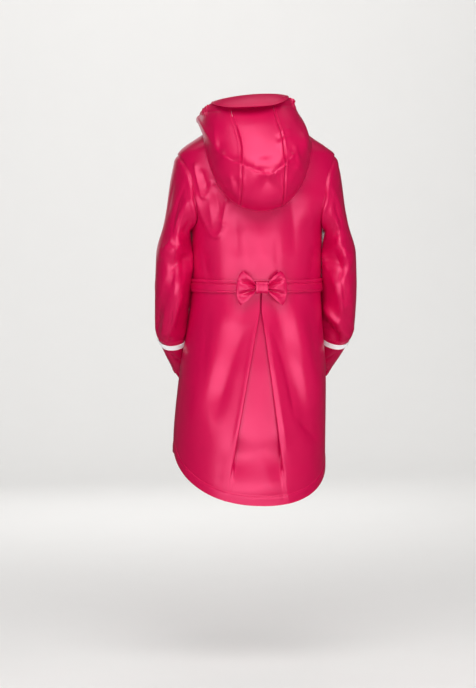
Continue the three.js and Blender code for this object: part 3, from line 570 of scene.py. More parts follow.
def sleeve_cap(turn, t, side, creases=True):
    """The cap leaves the armhole outwards (t 0) and arrives at the first section downwards (t 1)."""
    turn, t = np.broadcast_arrays(turn, t)
    angle, z = armhole_at(turn)
    if side < 0:
        angle = np.pi - angle
    inside = (1 - np.cos(turn)) / 2
    leave = np.stack([side * lerp(0.42, 1, inside), 0 * inside, lerp(-0.91, -0.22, inside)], -1)
    leave = unit(leave)
    start = body_point(angle, z, creases) + leave * SEAM
    end = sleeve_section(turn, 0 * t, side, creases)
    reach = np.linalg.norm(start - end, axis=-1)[..., None]
    arrive = unit(sleeve_section(turn, 0 * t + 0.06, side, creases) - end)
    t = t[..., None]
    p = (
        start * (2 * t**3 - 3 * t**2 + 1)
        + leave * (t**3 - 2 * t**2 + t) * reach * 0.9
        + end * (3 * t**2 - 2 * t**3)
        + arrive * (t**3 - t**2) * reach * 0.9
    )
    if creases:
        t = t[..., 0]
        table = CAP_CREASES_LEFT if side > 0 else CAP_CREASES_RIGHT
        around = np.degrees(turn) % 360 * AROUND_MM
        out = crease_height(around, (t - 1) * CAP_MM, in_mm(table, 1), wrap=360 * AROUND_MM)
        out = out * ease(t / 0.12) * ease((1 - t) / 0.12)
        away = np.stack([side * np.cos(turn), np.sin(turn), 0.25 * np.cos(turn)], -1)
        p = p + unit(away) * out[..., None]
    return p


def sleeve_point(turn, number, side, creases=True):
    turn, number = np.broadcast_arrays(turn, number)
    cap = sleeve_cap(turn, np.clip(number + 1, 0, 1), side, creases)
    below = sleeve_section(turn, np.maximum(number, 0), side, creases)
    return np.where((number < 0)[..., None], cap, below)


# Hood


HOOD_COLUMNS = (
    "number", "half", "back", "front", "side_z", "back_z", "front_z", "lie", "deep", "reach", "sag",
)
HOOD = (
    (0, 73, 63, 64, 2, 10, -45, 1, 1, 0.9, 1),
    (1, 79, 77, 71, 10, 19, -34, 3, 1, 0.9, 1),
    (2, 86, 90, 76, 12, -24, -22, 4.5, 1, 0.9, 1.6),
    (3, 95, 112, 81, 9, -112, -12, 5, 1.3, 0.85, 1.3),
    (4, 103, 136, 86, 6, -171, -4, 8, 1.6, 0.75, 1.05),
    (5, 107, 166, 90, 11, -153, 5, 18, 1.6, 0.65, 1.15),
    (6, 105, 182, 91, 20, -92, 13, 22, 1.5, 0.65, 1.15),
    (7, 99, 150, 89, 30, -8, 20, 22, 1.47, 0.8, 1),
    (8, 92, 104, 85, 39, 61, 27, 22, 1.3, 1, 1),
)
LAST_RING = 8
HOOD_SHIFT = 3
HOOD_LEAN = 16
HOOD_SHIFTED_RING = 4.5
HOOD_SIDE_LIE = 4
HOOD_TILT = -0.085
HOOD_STRIP_HALF = 42
HOOD_FRONT_ANGLE = -math.pi / 2 * 9 / 11
PEAK_HALF_ANGLE = math.radians(52)
PEAK_DEPTH = 52

hood = table_curves(HOOD_COLUMNS, HOOD, "number")


def neck_point(angle):
    lift = SEAM + np.maximum(0, -np.sin(angle)) * 0.8
    p = body_plain(angle, neck_z(angle))
    p[..., 2] += lift
    return p


def hood_point(angle, number, creases=True):
    angle, number = np.broadcast_arrays(angle * 1.0, number * 1.0)
    s = np.sin(angle)
    behind, before = np.maximum(s, 0), np.maximum(-s, 0)
    deep = behind ** hood["deep"](number)
    squared = np.sqrt(np.maximum(0, 1 - deep * deep))
    round_share = np.where(s > 0, squared, np.abs(np.cos(angle)) ** ROUND)
    side_z = hood["side_z"](number)
    level = np.where(
        s > 0,
        lerp(side_z, hood["back_z"](number), behind ** hood["sag"](number)),
        lerp(side_z, hood["front_z"](number), s**6),
    )
    shift = (HOOD_SHIFT + HOOD_LEAN * ease((level + 45) / 85)) * ease(number / HOOD_SHIFTED_RING)
    x = hood["half"](number) * np.sign(np.cos(angle)) * round_share + shift
    z = level + HOOD_TILT * ease((number - 5) / 3) * x
    back = np.maximum(hood["back"](number) * behind ** hood["reach"](number), coat_back_at(x, z))
    y = np.where(s > 0, back, -hood["front"](number) * before**ROUND)
    p = lerp(np.stack([x, y, z], -1), neck_point(angle), ease(1 - number)[..., None])
    lie = hood["lie"](number)
    gap = np.minimum(lie, HOOD_SIDE_LIE) + np.maximum(0, lie - HOOD_SIDE_LIE) * ease(s * 2)
    p = clear_of_coat(p, gap)
    if creases:
        outer = ease((number - 4.3) / 0.7) * ease(s * 2.5)
        out = crease_height(p[..., 0], p[..., 2], HOOD_CREASES) * outer
        away = np.stack([0.35 * np.cos(angle), np.ones_like(s), 0.25 * np.ones_like(s)], -1)
        p = p + unit(away) * out[..., None]
    return np.where((number <= 0)[..., None], neck_point(angle), p)


def strip_angle(number):
    share = np.minimum(1, HOOD_STRIP_HALF / hood["half"](number))
    return np.arcsin((1 - share * share) ** (1 / (2 * hood["deep"](number))))


def peak_point(share, out):
    angle = math.pi / 2 + share * PEAK_HALF_ANGLE
    root = hood_point(angle, np.full(np.shape(share), 8.0), False)
    depth = PEAK_DEPTH * (1 - share * share) * out
    back = unit(np.stack([-share * 0.35, np.full(np.shape(share), 0.8), 0 * share], -1))
    p = root + back * (SEAM * 3 + depth * 0.86)[..., None]
    p[..., 2] += 2.2 - depth * (0.32 + 0.2 * out)
    return p


# Bow


BOW_Z = -322
BOW_HALF_WIDTH = 51
BOW_TIP_HEIGHT = 42
BOW_ROOT_HEIGHT = 8.8
BOW_ROOT_THICKNESS = 10.2
BOW_THICKNESS = 15
KNOT_HALF_WIDTH = 12
KNOT_HALF_HEIGHT = 13
TRIM = 1.2
ON_TOP = 0.6
CLOTH = 1.5


def bow_back():
    return float(body_plain(math.pi / 2, BOW_Z)[1]) + ON_TOP + TRIM + 3
# Walls. A grid of points becomes a closed thin wall of cloth. Its columns run anticlockwise seen from
# above and its rows run up.


def grid_normals(points, closed_round):
    if closed_round:
        across = np.roll(points, -1, 1) - np.roll(points, 1, 1)
    else:
        across = np.gradient(points, axis=1)
    return unit(np.cross(across, np.gradient(points, axis=0)))


def grid_lengths(points, axis):
    """Distance along each row or column from its start, in metres."""
    steps = np.linalg.norm(np.diff(points, axis=axis), axis=-1) / 1000
    start = np.zeros_like(np.take(steps, [0], axis=axis))
    return np.cumsum(np.concatenate([start, steps], axis=axis), axis=axis)


def add_mesh(name, verts, faces, materials, smooth_angle=40):
    mesh = bpy.data.meshes.new(name)
    mesh.from_pydata(verts.tolist(), [], faces.tolist() if hasattr(faces, "tolist") else faces)
    for material in materials:
        mesh.materials.append(material)
    mesh.polygons.foreach_set("use_smooth", np.ones(len(mesh.polygons), bool))
    mesh.update()
    mesh.set_sharp_from_angle(angle=math.radians(smooth_angle))
    piece = bpy.data.objects.new(name, mesh)
    bpy.context.scene.collection.objects.link(piece)
    return piece


def add_wall(name, points, thickness, materials, closed_round=False):
    """The outer face takes the first material and the inner face the last one."""
    rows, cols = points.shape[:2]
    normals = grid_normals(points, closed_round)
    verts = np.concatenate([points, points - normals * thickness]).reshape(-1, 3) / 1000
    i, j = np.meshgrid(
        np.arange(rows - 1), np.arange(cols if closed_round else cols - 1), indexing="ij"
    )
    a, b = i * cols + j, i * cols + (j + 1) % cols
    c, d = b + cols, a + cols
    outer = np.stack([a, b, c, d], -1).reshape(-1, 4)
    count = rows * cols
    inner = outer[:, ::-1] + count
    low_a, low_b = a[0], b[0]
    top_a, top_b = d[-1], c[-1]
    rims = [
        np.stack([low_a, low_a + count, low_b + count, low_b], -1),
        np.stack([top_a, top_b, top_b + count, top_a + count], -1),
    ]
    if not closed_round:
        first = np.arange(rows - 1) * cols
        last = first + cols - 1
        rims.append(np.stack([first, first + cols, first + cols + count, first + count], -1))
        rims.append(np.stack([last, last + count, last + cols + count, last + cols], -1))
    faces = np.concatenate([outer, inner, *rims])
    piece = add_mesh(name, verts, faces, materials)
    if len(materials) > 1:
        index = np.zeros(len(faces), np.int32)
        index[len(outer) : 2 * len(outer)] = len(materials) - 1
        piece.data.polygons.foreach_set("material_index", index)
    along, up = grid_lengths(points, 1), grid_lengths(points, 0)
    total = np.maximum(up[-1:], 1e-6)
    uv = np.stack([along, up / total], -1).reshape(-1, 2)
    uv = np.concatenate([uv, uv])
    corners = np.zeros(len(piece.data.loops), np.int32)
    piece.data.loops.foreach_get("vertex_index", corners)
    layer = piece.data.uv_layers.new(name="Cloth")
    layer.data.foreach_set("uv", uv[corners].astype(np.float32).ravel())
    return piece


def as_sheet(piece, node, flat, area, held="hung", rests_on=(), slot="coated_fabric"):
    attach(piece, "root")
    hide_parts(node)
    return piece


def spread(start, end, count):
    return np.linspace(start, end, count + 1)


def mesh_step():
    """Distance between the points of a cloth grid, in mm."""
    sizes = bpy.context.scene.raincoat_sizes
    return sizes.mesh_step * 1000 * 1


def cloth_mm():
    return bpy.context.scene.raincoat_sizes.cloth * 1000


# Panels of the coat

SIDE_SEAM = SEAM_ANGLE / 8
HEM_PROUD = 0.9
HEM_GROOVE = 0.5
SEAM_SINK = 1.5
SEAM_SWELL = 0.9


def hem_roll(p, angle, z):
    """The turned-up hem stands a little proud of the panel above it."""
    above = z - hem_z(angle)
    proud = HEM_PROUD * ease((HEM_TURN_UP - above) / 2.0)
    proud -= HEM_GROOVE * np.exp(-(((above - HEM_TURN_UP) / 1.6) ** 2))
    away = unit(p * np.array([1, 1, 0]))
    return p + away * proud[..., None]


def panel_point(angle, z):
    return hem_roll(body_point(angle, z), angle, z)


def row_angles(edge, z, back, side, count):
    if back:
        return spread(edge + SIDE_SEAM, math.pi - edge - SIDE_SEAM, count)
    end = math.pi / 2 - SEAM / 2 / body["half"](z)
    angles = spread(edge + SIDE_SEAM, end, count)
    return -angles[::-1] if side > 0 else -math.pi + angles


def upper_panel(rows, back, side, count):
    points = []
    for row in rows:
        edge = row[0]
        z_mid = row_height(row, np.array(math.pi / 2 if back else -math.pi / 2))
        angles = row_angles(edge, z_mid, back, side, count)
        points.append(panel_point(angles, row_height(row, angles)))
    return np.array(points)


def bodice_back_points():
    step = mesh_step()
    low = list(np.linspace(WAIST_Z + SEAM / 2, ARMPIT_Z, round(120 / step))[:-1])
    return upper_panel(upper_rows(low, True, step), True, 0, round(330 / step))


def front_points(side):
    step = mesh_step()
    count = round(225 / step)
    skirt = []
    for t in np.linspace(0, 1, round(333 / step)):
        angles = row_angles(0.0, -500, False, side, count)
        skirt.append(panel_point(angles, lerp(hem_z(angles), float(WAIST_Z), t)))
    low = list(np.linspace(WAIST_Z, ARMPIT_Z, round(120 / step))[1:-1])
    upper = upper_panel(upper_rows(low, False, step), False, side, count)
    return np.concatenate([np.array(skirt), upper])


def skirt_back_points():
    step = mesh_step()
    side_columns = round(200 / step)
    rows = []
    for t in np.linspace(0, 1, round(420 / step)):
        centre_z = lerp(float(hem_z(math.pi / 2)), WAIST_Z - SEAM / 2, t)
        path, centre_depth = pleat_path(centre_z)
        centre = pleat_centre(centre_z)
        half = path + [(0.0, centre_depth)]
        q = np.array([at[0] for at in half] + [-at[0] for at in reversed(path)])
        depth = np.array([at[1] for at in half] + [at[1] for at in reversed(path)])
        angle = back_angle_at(centre + q, np.full(len(q), centre_z))
        left = spread(SIDE_SEAM, angle[0], side_columns)[:-1]
        right = spread(angle[-1], math.pi - SIDE_SEAM, side_columns)[1:]
        angles = np.concatenate([left, angle, right])
        inward = np.concatenate([0 * left, depth, 0 * right])
        p = panel_point(angles, lerp(hem_z(angles), WAIST_Z - SEAM / 2, t))
        away = np.stack([np.cos(angles), np.sin(angles), 0 * angles], -1)
        rows.append(p - away * inward[:, None])
    return np.array(rows)


def waistband_points():
    z = np.linspace(BAND_BOTTOM_Z, BAND_TOP_Z, 41)
    proud = 2.0 * ease((z - BAND_BOTTOM_Z + 1.5) / 4) * np.ones_like(z)
    proud = proud - 1.9 * np.exp(-(((z - BAND_GROOVE_Z) / 1.4) ** 2))
    proud = proud - 0.5 * ease((z - BAND_GROOVE_Z) / 1.5) - 1.0 * ease((z - BAND_TOP_Z + 2.2) / 2.2)
    proud = proud - 1.0 * np.exp(-(((z - BAND_BOTTOM_Z - 3.4) / 1.3) ** 2))
    angles = spread(SEAM_ANGLE * 4, math.pi - SEAM_ANGLE * 4, round(330 / mesh_step()))
    a, zz = np.meshgrid(angles, z)
    points = body_point(a, zz)
    normals = grid_normals(points, False)
    return points + normals * (ON_TOP + TRIM + 0.4 + proud)[:, None, None]


def flap_points():
    step = mesh_step()
    z = np.arange(float(hem_z(-math.pi / 2)) + 1, float(neck_z(-math.pi / 2)) - 3, step)
    x = np.linspace(-FLAP_HALF_WIDTH, FLAP_HALF_WIDTH, 16)
    xx, zz = np.meshgrid(x, z)
    angle = -math.pi / 2 + xx / body["half"](zz)
    points = body_point(angle, zz)
    edge = FLAP_HALF_WIDTH - np.abs(xx)
    proud = ON_TOP + CLOTH - 0.5 * np.exp(-(((edge - 6) / 1.2) ** 2)) - 0.5 * ease((1.2 - edge) / 1.2)
    return points + grid_normals(points, False) * proud[..., None]


# Sleeves, tapes and cuffs


def sleeve_numbers():
    step = mesh_step()
    below = np.linspace(9, 0, round(300 / step))
    cap = np.linspace(0, -1, round(130 / step))[1:]
    return np.concatenate([below, cap])


def cuff_gathers(turn, number, side):
    """Small uneven puckers where the elastic draws the wrist in, and the channel it runs in."""
    draw = ease((number - 8.0) / 0.7)
    wave = np.sin(23 * turn + side) * 0.9 + np.sin(37 * turn + 2 * side) * 0.45
    return draw * wave - 0.9 * np.exp(-(((number - CUFF_CHANNEL) / 0.06) ** 2))


def sleeve_points(side, numbers=None, proud=0.0):
    step = mesh_step()
    turns = np.linspace(0, 2 * math.pi, round(290 / step), endpoint=False)
    numbers = sleeve_numbers() if numbers is None else numbers
    turn, number = np.meshgrid(turns, numbers)
    points = sleeve_point(turn, number, side)
    if side < 0:
        points = points[:, ::-1]
        turn = turn[:, ::-1]
    normals = grid_normals(points, True)
    out = cuff_gathers(turn, number, side)
    out += 1.3 * np.exp(-(((number + 0.9) / 0.06) ** 2)) - 2.2 * np.exp(-(((number + 0.985) / 0.03) ** 2))
    return points + normals * (out + proud)[..., None]


def tape_points(side):
    numbers = np.linspace(TAPE_ROW + TAPE_HALF, TAPE_ROW - TAPE_HALF, 9)
    points = sleeve_points(side, numbers, ON_TOP + TRIM)
    across = np.linspace(-1, 1, 9)
    dip = 0.35 * np.exp(-(((np.abs(across) - 0.84) / 0.12) ** 2))
    return points - grid_normals(points, True) * dip[:, None, None]


# Hood


def hood_panel_points(angles_at):
    step = mesh_step()
    numbers = np.linspace(0, LAST_RING, round(8 * 60 / step))
    angle = np.array([angles_at(n) for n in numbers])
    number = np.broadcast_to(numbers[:, None], angle.shape)
    points = hood_point(angle, number)
    normals = grid_normals(points, False)
    shift = (HOOD_SHIFT + HOOD_LEAN * ease((points[..., 2] + 45) / 85)) * ease(number / 4.5)
    from_seam = np.abs(np.abs(points[..., 0] - shift) - HOOD_STRIP_HALF)
    at_back = ease(np.sin(angle) * 3 - 0.6)
    pinch = SEAM_SWELL * np.exp(-(((from_seam - 4.2) / 2.2) ** 2))
    pinch -= SEAM_SINK * np.exp(-((from_seam / 1.5) ** 2))
    face = ease((number - 7.25) / 0.45)
    sides = ease((PUCKER_REACH - np.sin(angle)) / 0.12)
    wave = np.sin(angle * 74) + 0.5 * np.sin(angle * 47 + 1)
    pucker = face * sides * wave * 1.5 - face * 0.8 * np.exp(-(((number - 7.62) / 0.05) ** 2))
    at_back = at_back * ease(number - 0.6) * ease((LAST_RING - 0.35 - number) / 0.9)
    return points + normals * (pinch * at_back + pucker)[..., None]


def hood_centre_points():
    count = round(88 / mesh_step())
    return hood_panel_points(
        lambda n: spread(
            float(strip_angle(n)) + SEAM / 2 / float(hood["half"](n)),
            math.pi - float(strip_angle(n)) - SEAM / 2 / float(hood["half"](n)),
            count,
        )
    )


def hood_side_points(side):
    step = mesh_step() * 0.85
    before, behind = round(95 / step), round(150 / step)

    def angles_at(n):
        end = float(strip_angle(n)) - SEAM / 2 / float(hood["half"](n))
        angles = np.concatenate([spread(HOOD_FRONT_ANGLE, 0, before)[:-1], spread(0, end, behind)])
        return angles if side > 0 else (math.pi - angles)[::-1]

    return hood_panel_points(angles_at)


def peak_points():
    share, out = np.meshgrid(np.linspace(-0.97, 0.97, 64), np.linspace(1, 0.06, 20))
    points = peak_point(share, out)
    normals = grid_normals(points, False)
    edge = (1 - out) * PEAK_DEPTH
    proud = 0.35 * ease((6 - edge) / 1.5) - 0.4 * np.exp(-(((edge - 6) / 1.0) ** 2))
    sag = -1.6 * np.exp(-(((share - 0.35) / 0.22) ** 2)) * out
    sag -= 1.1 * np.exp(-(((share + 0.5) / 0.2) ** 2)) * out
    return points + normals * (proud + sag)[..., None]


# Bow


def bow_loop_points(side):
    path, heights = ((56, 32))
    h, t = np.meshgrid(np.linspace(-1, 1, heights), np.linspace(0, 1, path), indexing="ij")
    root_x = 2
    reach = BOW_HALF_WIDTH - root_x - 11 * h * h - 2 * h
    x = root_x + reach * (1 - np.abs(2 * t - 1) ** 1.6)
    knot = KNOT_HALF_WIDTH + 1.5
    free = np.maximum(0, x - knot) / (BOW_HALF_WIDTH - knot)
    z = BOW_Z + h * lerp(BOW_ROOT_HEIGHT, BOW_TIP_HEIGHT, free**0.75)
    near_knot = (1 - free) * ease(free * 5)
    front = ease((0.5 - t) / 0.08)
    pleat = front * (2.6 * np.cos(h * 2 * math.pi) * near_knot)
    for at, run, width, depth in BOW_CREASES:
        pleat = pleat + front * depth * np.exp(-(((h - at) / width) ** 2)) * ease((run - free) / 0.4)
    thick = lerp(BOW_ROOT_THICKNESS, BOW_THICKNESS, ease(free * 2.2)) / 2
    y = bow_back() + 6.6 + thick * np.cos(t * math.pi) + pleat
    y = np.maximum(y, bow_back() + 0.4)
    points = np.stack([side * x, y, z], -1)
    return points[:, ::-1] if side > 0 else points


def bow_knot_points():
    w, a = np.meshgrid(np.linspace(-1, 1, 20), np.linspace(0, 2 * math.pi, 48, endpoint=False), indexing="ij")
    squeeze = 1 - 0.1 * (1 - w * w)
    y = bow_back() + 6.6 + (8.2 - 0.5 * (1 - np.abs(w)) + 0.5 * np.cos(w * 9)) * soft_power(np.cos(a), 0.6)
    z = BOW_Z + KNOT_HALF_HEIGHT * squeeze * soft_power(np.sin(a), 0.6)
    return np.stack([KNOT_HALF_WIDTH * w, y, z], -1)


# Stitching


def along_line(points, start, end):
    """Points of a line cut to its length in mm, and the running length of each."""
    length = np.concatenate([[0], np.cumsum(np.linalg.norm(np.diff(points, axis=0), axis=1))])
    return length, max(0.0, start), min(length[-1], length[-1] + end if end <= 0 else end)


def stitch_line(points, normals, start=2.0, end=-2.0):
    """Verts and faces of one row of stitches that lies on a surface along a line of its points."""
    sizes = bpy.context.scene.raincoat_sizes
    pitch, long, thick = sizes.stitch_pitch * 1000, sizes.stitch_length * 1000, sizes.stitch_width * 500
    length, first, last = along_line(points, start, end)
    centres = np.arange(first + pitch / 2, last - pitch / 2, pitch)
    if not len(centres):
        return np.zeros((0, 3)), np.zeros((0, 4), int)

    def at(s, source):
        return np.stack([np.interp(s, length, source[:, k]) for k in range(3)], -1)

    middle, head, tail = at(centres, points), at(centres + long / 2, points), at(centres - long / 2, points)
    up = unit(at(centres, normals))
    run = unit(head - tail)
    side = np.cross(run, up)
    rings = [(tail, 0.35), (lerp(tail, middle, 0.45), 1.0), (lerp(head, middle, 0.45), 1.0), (head, 0.35)]
    verts = []
    for centre, size in rings:
        for s, u in ((1, 0.1), (0, 1.1), (-1, 0.1), (0, -0.9)):
            verts.append(centre + (side * s + up * u) * thick * size)
    verts = np.stack(verts, 1)
    faces = []
    for ring in range(3):
        for k in range(4):
            a, b = ring * 4 + k, ring * 4 + (k + 1) % 4
            faces.append((a, b, b + 4, a + 4))
    faces += [(3, 2, 1, 0), (12, 13, 14, 15)]
    faces = np.array(faces)
    offsets = np.arange(len(centres))[:, None, None] * 16
    return verts.reshape(-1, 3), (faces[None] + offsets).reshape(-1, 4)


def add_stitching(name, lines, material):
    verts, faces, count = [], [], 0
    for points, normals, *ends in lines:
        v, f = stitch_line(points, normals, *ends)
        verts.append(v)
        faces.append(f + count)
        count += len(v)
    piece = add_mesh(name, np.concatenate(verts) / 1000, np.concatenate(faces), [material])
    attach(piece, "root")
    return piece


def grid_line(points, rows=None, cols=None, lift=0.12, closed_round=False):
    """A line of a grid's own points: one row or column, or a row or column between two of them."""
    normals = grid_normals(points, closed_round)

    def pick(source):
        if rows is not None:
            low = int(rows)
            return lerp(source[low], source[min(low + 1, len(source) - 1)], rows - low)
        low = int(cols)
        return lerp(source[:, low], source[:, min(low + 1, source.shape[1] - 1)], cols - low)

    n = pick(normals)
    return pick(points) + n * lift, n


def line_at_distance(points, distance, from_row, lift=0.12):
    """A line that runs along a grid's first or last row at a distance from it, measured over the cloth."""
    grid = points if from_row == 0 else points[::-1]
    normals = grid_normals(points, False)
    normals = normals if from_row == 0 else normals[::-1]
    up = grid_lengths(grid, 0) * 1000
    out_p, out_n = [], []
    for j in range(grid.shape[1]):
        out_p.append([np.interp(distance, up[:, j], grid[:, j, k]) for k in range(3)])
        out_n.append([np.interp(distance, up[:, j], normals[:, j, k]) for k in range(3)])
    p, n = np.array(out_p), unit(np.array(out_n))
    return p + n * lift, n


def line_beside_edge(points, distance, from_column, lift=0.12):
    """A line that runs along a grid's first or last column at a distance from it."""
    p, n = line_at_distance(points.transpose(1, 0, 2), distance, from_column, 0)
    return p - n * lift, -n


# Sewn detail, in mm unless a comment says otherwise

HEM_TURN_UP = 19
BAND_GROOVE_Z = -315.5
FLAP_HALF_WIDTH = 21
STUD_COUNT = 6
STUD_RADIUS = 6.5
STUD_HEIGHT = 2.4
STUD_TOP_Z = -78
STUD_PITCH = 104
CUFF_CHANNEL = 8.5  # section where the elastic's seam runs
# how far each ring of a stud's top lies inside the one before, in metres, and its rise
STUD_STEPS = ((0.0007, 0.3), (0.0010, 0.1), (0.0005, -0.22), (0.0004, 0.12), (0.0012, -0.16), (0.0011, -0.06))
WAISTBAND_LINES = (3.0, 17.0, 25.4)  # millimetres above the waistband's lower edge
TAPE_LINES = (0.9, 7.1)  # rows of a tape's grid
ABOVE_TAPE_LINES = (5.48, 5.58)  # sections with a row of stitches above each tape
PUCKER_REACH = 0.62  # sine of the angle where the hood's elastic ends
BOW_CREASES = (
    # at (share of the loop's height), run (share of its length), width, depth
    (0.36, 0.95, 0.11, -4.2),
    (0.05, 0.7, 0.09, -3.0),
    (-0.38, 1.0, 0.12, -4.4),
    (0.7, 0.6, 0.1, 2.0),
    (-0.72, 0.7, 0.1, 1.6),
)

# Stage, in metres and degrees

FLOOR_Z = -1.107
FLOOR_END = -0.4
SWEEP_START = -3.2
SWEEP_RADIUS = 2.2
CAMERA_TARGET = (0.037, 0.0, -0.443)
CAMERA_PLACE = (175, 4, 4.2)  # azimuth, elevation and distance from the target
CAMERA_LENS = 107.2
WORLD_LIGHT = 0.05
LAMPS = (
    # azimuth, elevation and distance from the target, size, watts and whether the cloth mirrors it
    ("main softbox", 178, -4, 1.6, (2.6, 0.56), 21.5, True),
    ("overhead softbox", 178, 48, 1.5, (1.8, 0.66), 18, True),
    ("right fill", 245, 6, 2.2, (1.2, 1.8), 12, False),
    ("left fill", 115, 6, 2.2, (1.2, 1.8), 9, False),
    ("front fill", 5, 20, 2.4, (2.0, 1.6), 12, True),
)
BACKDROP_LAMPS = (
    # place, aim, size and watts
    ("backdrop lamp", (0.0, -2.2, 2.9), (0.0, -5.2, 0.6), (6.0, 1.2), 150),
    ("floor lamp", (0.0, -1.2, 3.2), (0.0, -2.4, -1.1), (5.0, 1.2), 28),
)


# Finishes


def link(tree, start, end):
    tree.links.new(start, end)


def new_group(name, inputs, outputs):
    """An empty shader group with number inputs and outputs, and its two end nodes."""
    group = bpy.data.node_groups.new(name, "ShaderNodeTree")
    for label, default in inputs:
        socket = group.interface.new_socket(label, in_out="INPUT", socket_type="NodeSocketFloat")
        socket.default_value = default
    for label in outputs:
        group.interface.new_socket(label, in_out="OUTPUT", socket_type="NodeSocketFloat")
    return group, group.nodes.new("NodeGroupInput"), group.nodes.new("NodeGroupOutput")


def maths(tree, operation, a, b=0.0, c=0.0):
    node = tree.nodes.new("ShaderNodeMath")
    node.operation = operation
    for k, value in enumerate((a, b, c)):
        if isinstance(value, bpy.types.NodeSocket):
            link(tree, value, node.inputs[k])
        else:
            node.inputs[k].default_value = value
    return node.outputs[0]


def noise(tree, place, scale, detail=3.0, rough=0.5):
    node = tree.nodes.new("ShaderNodeTexNoise")
    node.inputs["Detail"].default_value = detail
    node.inputs["Roughness"].default_value = rough
    if isinstance(scale, bpy.types.NodeSocket):
        link(tree, scale, node.inputs["Scale"])
    else:
        node.inputs["Scale"].default_value = scale
    link(tree, place, node.inputs["Vector"])
    return node.outputs["Fac"]


def coated_grain_group():
    """The fine pebbled skin of the coating, and slow changes of gloss and depth of colour."""
    group, given, made = new_group(
        "Coated grain", [("Grain scale", 700.0)], ["Height", "Gloss", "Tone"]
    )
    place = group.nodes.new("ShaderNodeTexCoord").outputs["Object"]
    cells = group.nodes.new("ShaderNodeTexVoronoi")
    cells.feature = "SMOOTH_F1"
    link(group, given.outputs["Grain scale"], cells.inputs["Scale"])
    link(group, place, cells.inputs["Vector"])
    ripple = noise(group, place, 120.0, 2.0)
    height = maths(group, "MULTIPLY_ADD", cells.outputs["Distance"], 0.6, 0.0)
    link(group, maths(group, "ADD", height, maths(group, "MULTIPLY", ripple, 0.5)), made.inputs["Height"])
    link(group, noise(group, place, 26.0, 4.0), made.inputs["Gloss"])
    link(group, noise(group, place, 7.0, 2.0), made.inputs["Tone"])
    return group


def knit_group():
    """Fine ribs of a knitted backing."""
    group, given, made = new_group("Knit", [("Rib scale", 420.0)], ["Height", "Tone"])
    place = group.nodes.new("ShaderNodeTexCoord").outputs["Object"]
    ribs = group.nodes.new("ShaderNodeTexWave")
    ribs.wave_type = "BANDS"
    ribs.bands_direction = "X"
    ribs.inputs["Distortion"].default_value = 1.4
    ribs.inputs["Detail"].default_value = 1.0
    link(group, given.outputs["Rib scale"], ribs.inputs["Scale"])
    link(group, place, ribs.inputs["Vector"])
    loops = noise(group, place, 900.0, 1.0)
    link(group, maths(group, "MULTIPLY", ribs.outputs["Fac"], loops), made.inputs["Height"])
    link(group, noise(group, place, 40.0, 3.0), made.inputs["Tone"])
    return group


def group_node(tree, name, **values):
    node = tree.nodes.new("ShaderNodeGroup")
    node.node_tree = bpy.data.node_groups[name]
    for label, value in values.items():
        node.inputs[label.replace("_", " ")].default_value = value
    return node


def new_material(name, rough, **constants):
    material = bpy.data.materials.new(name)
    material.use_nodes = True
    tree = material.node_tree
    shader = tree.nodes["Principled BSDF"]
    shader.inputs["Roughness"].default_value = rough
    for label, value in constants.items():
        shader.inputs[label.replace("_", " ")].default_value = value
    return material, tree, shader


def tone_colour(tree, factor, light, dark):
    node = tree.nodes.new("ShaderNodeMix")
    node.data_type = "RGBA"
    link(tree, factor, node.inputs["Factor"])
    node.inputs["A"].default_value = (*light, 1)
    node.inputs["B"].default_value = (*dark, 1)
    return node.outputs["Result"]


def bump(tree, shader, height, strength, distance):
    node = tree.nodes.new("ShaderNodeBump")
    node.inputs["Strength"].default_value = strength
    node.inputs["Distance"].default_value = distance
    link(tree, height, node.inputs["Height"])
    link(tree, node.outputs["Normal"], shader.inputs["Normal"])


def spread_of(tree, value, low, high):
    node = tree.nodes.new("ShaderNodeMapRange")
    node.inputs["From Min"].default_value = 0.3
    node.inputs["From Max"].default_value = 0.7
    node.inputs["To Min"].default_value = low
    node.inputs["To Max"].default_value = high
    link(tree, value, node.inputs["Value"])
    return node.outputs["Result"]


def shade(colour, share):
    return tuple(c * share for c in colour)


def surface(tree, shader, pattern, light, dark, gloss=None, height=None, tone=None):
    """Colour, roughness and bump of a material, from the outputs of one of the two groups."""
    factor = pattern.outputs["Tone"] if tone is None else tone
    link(tree, tone_colour(tree, factor, light, dark), shader.inputs["Base Color"])
    if gloss:
        share = pattern.outputs["Gloss" if "Gloss" in pattern.outputs else "Tone"]
        link(tree, spread_of(tree, share, *gloss), shader.inputs["Roughness"])
        bump(tree, shader, pattern.outputs["Height"], *height)


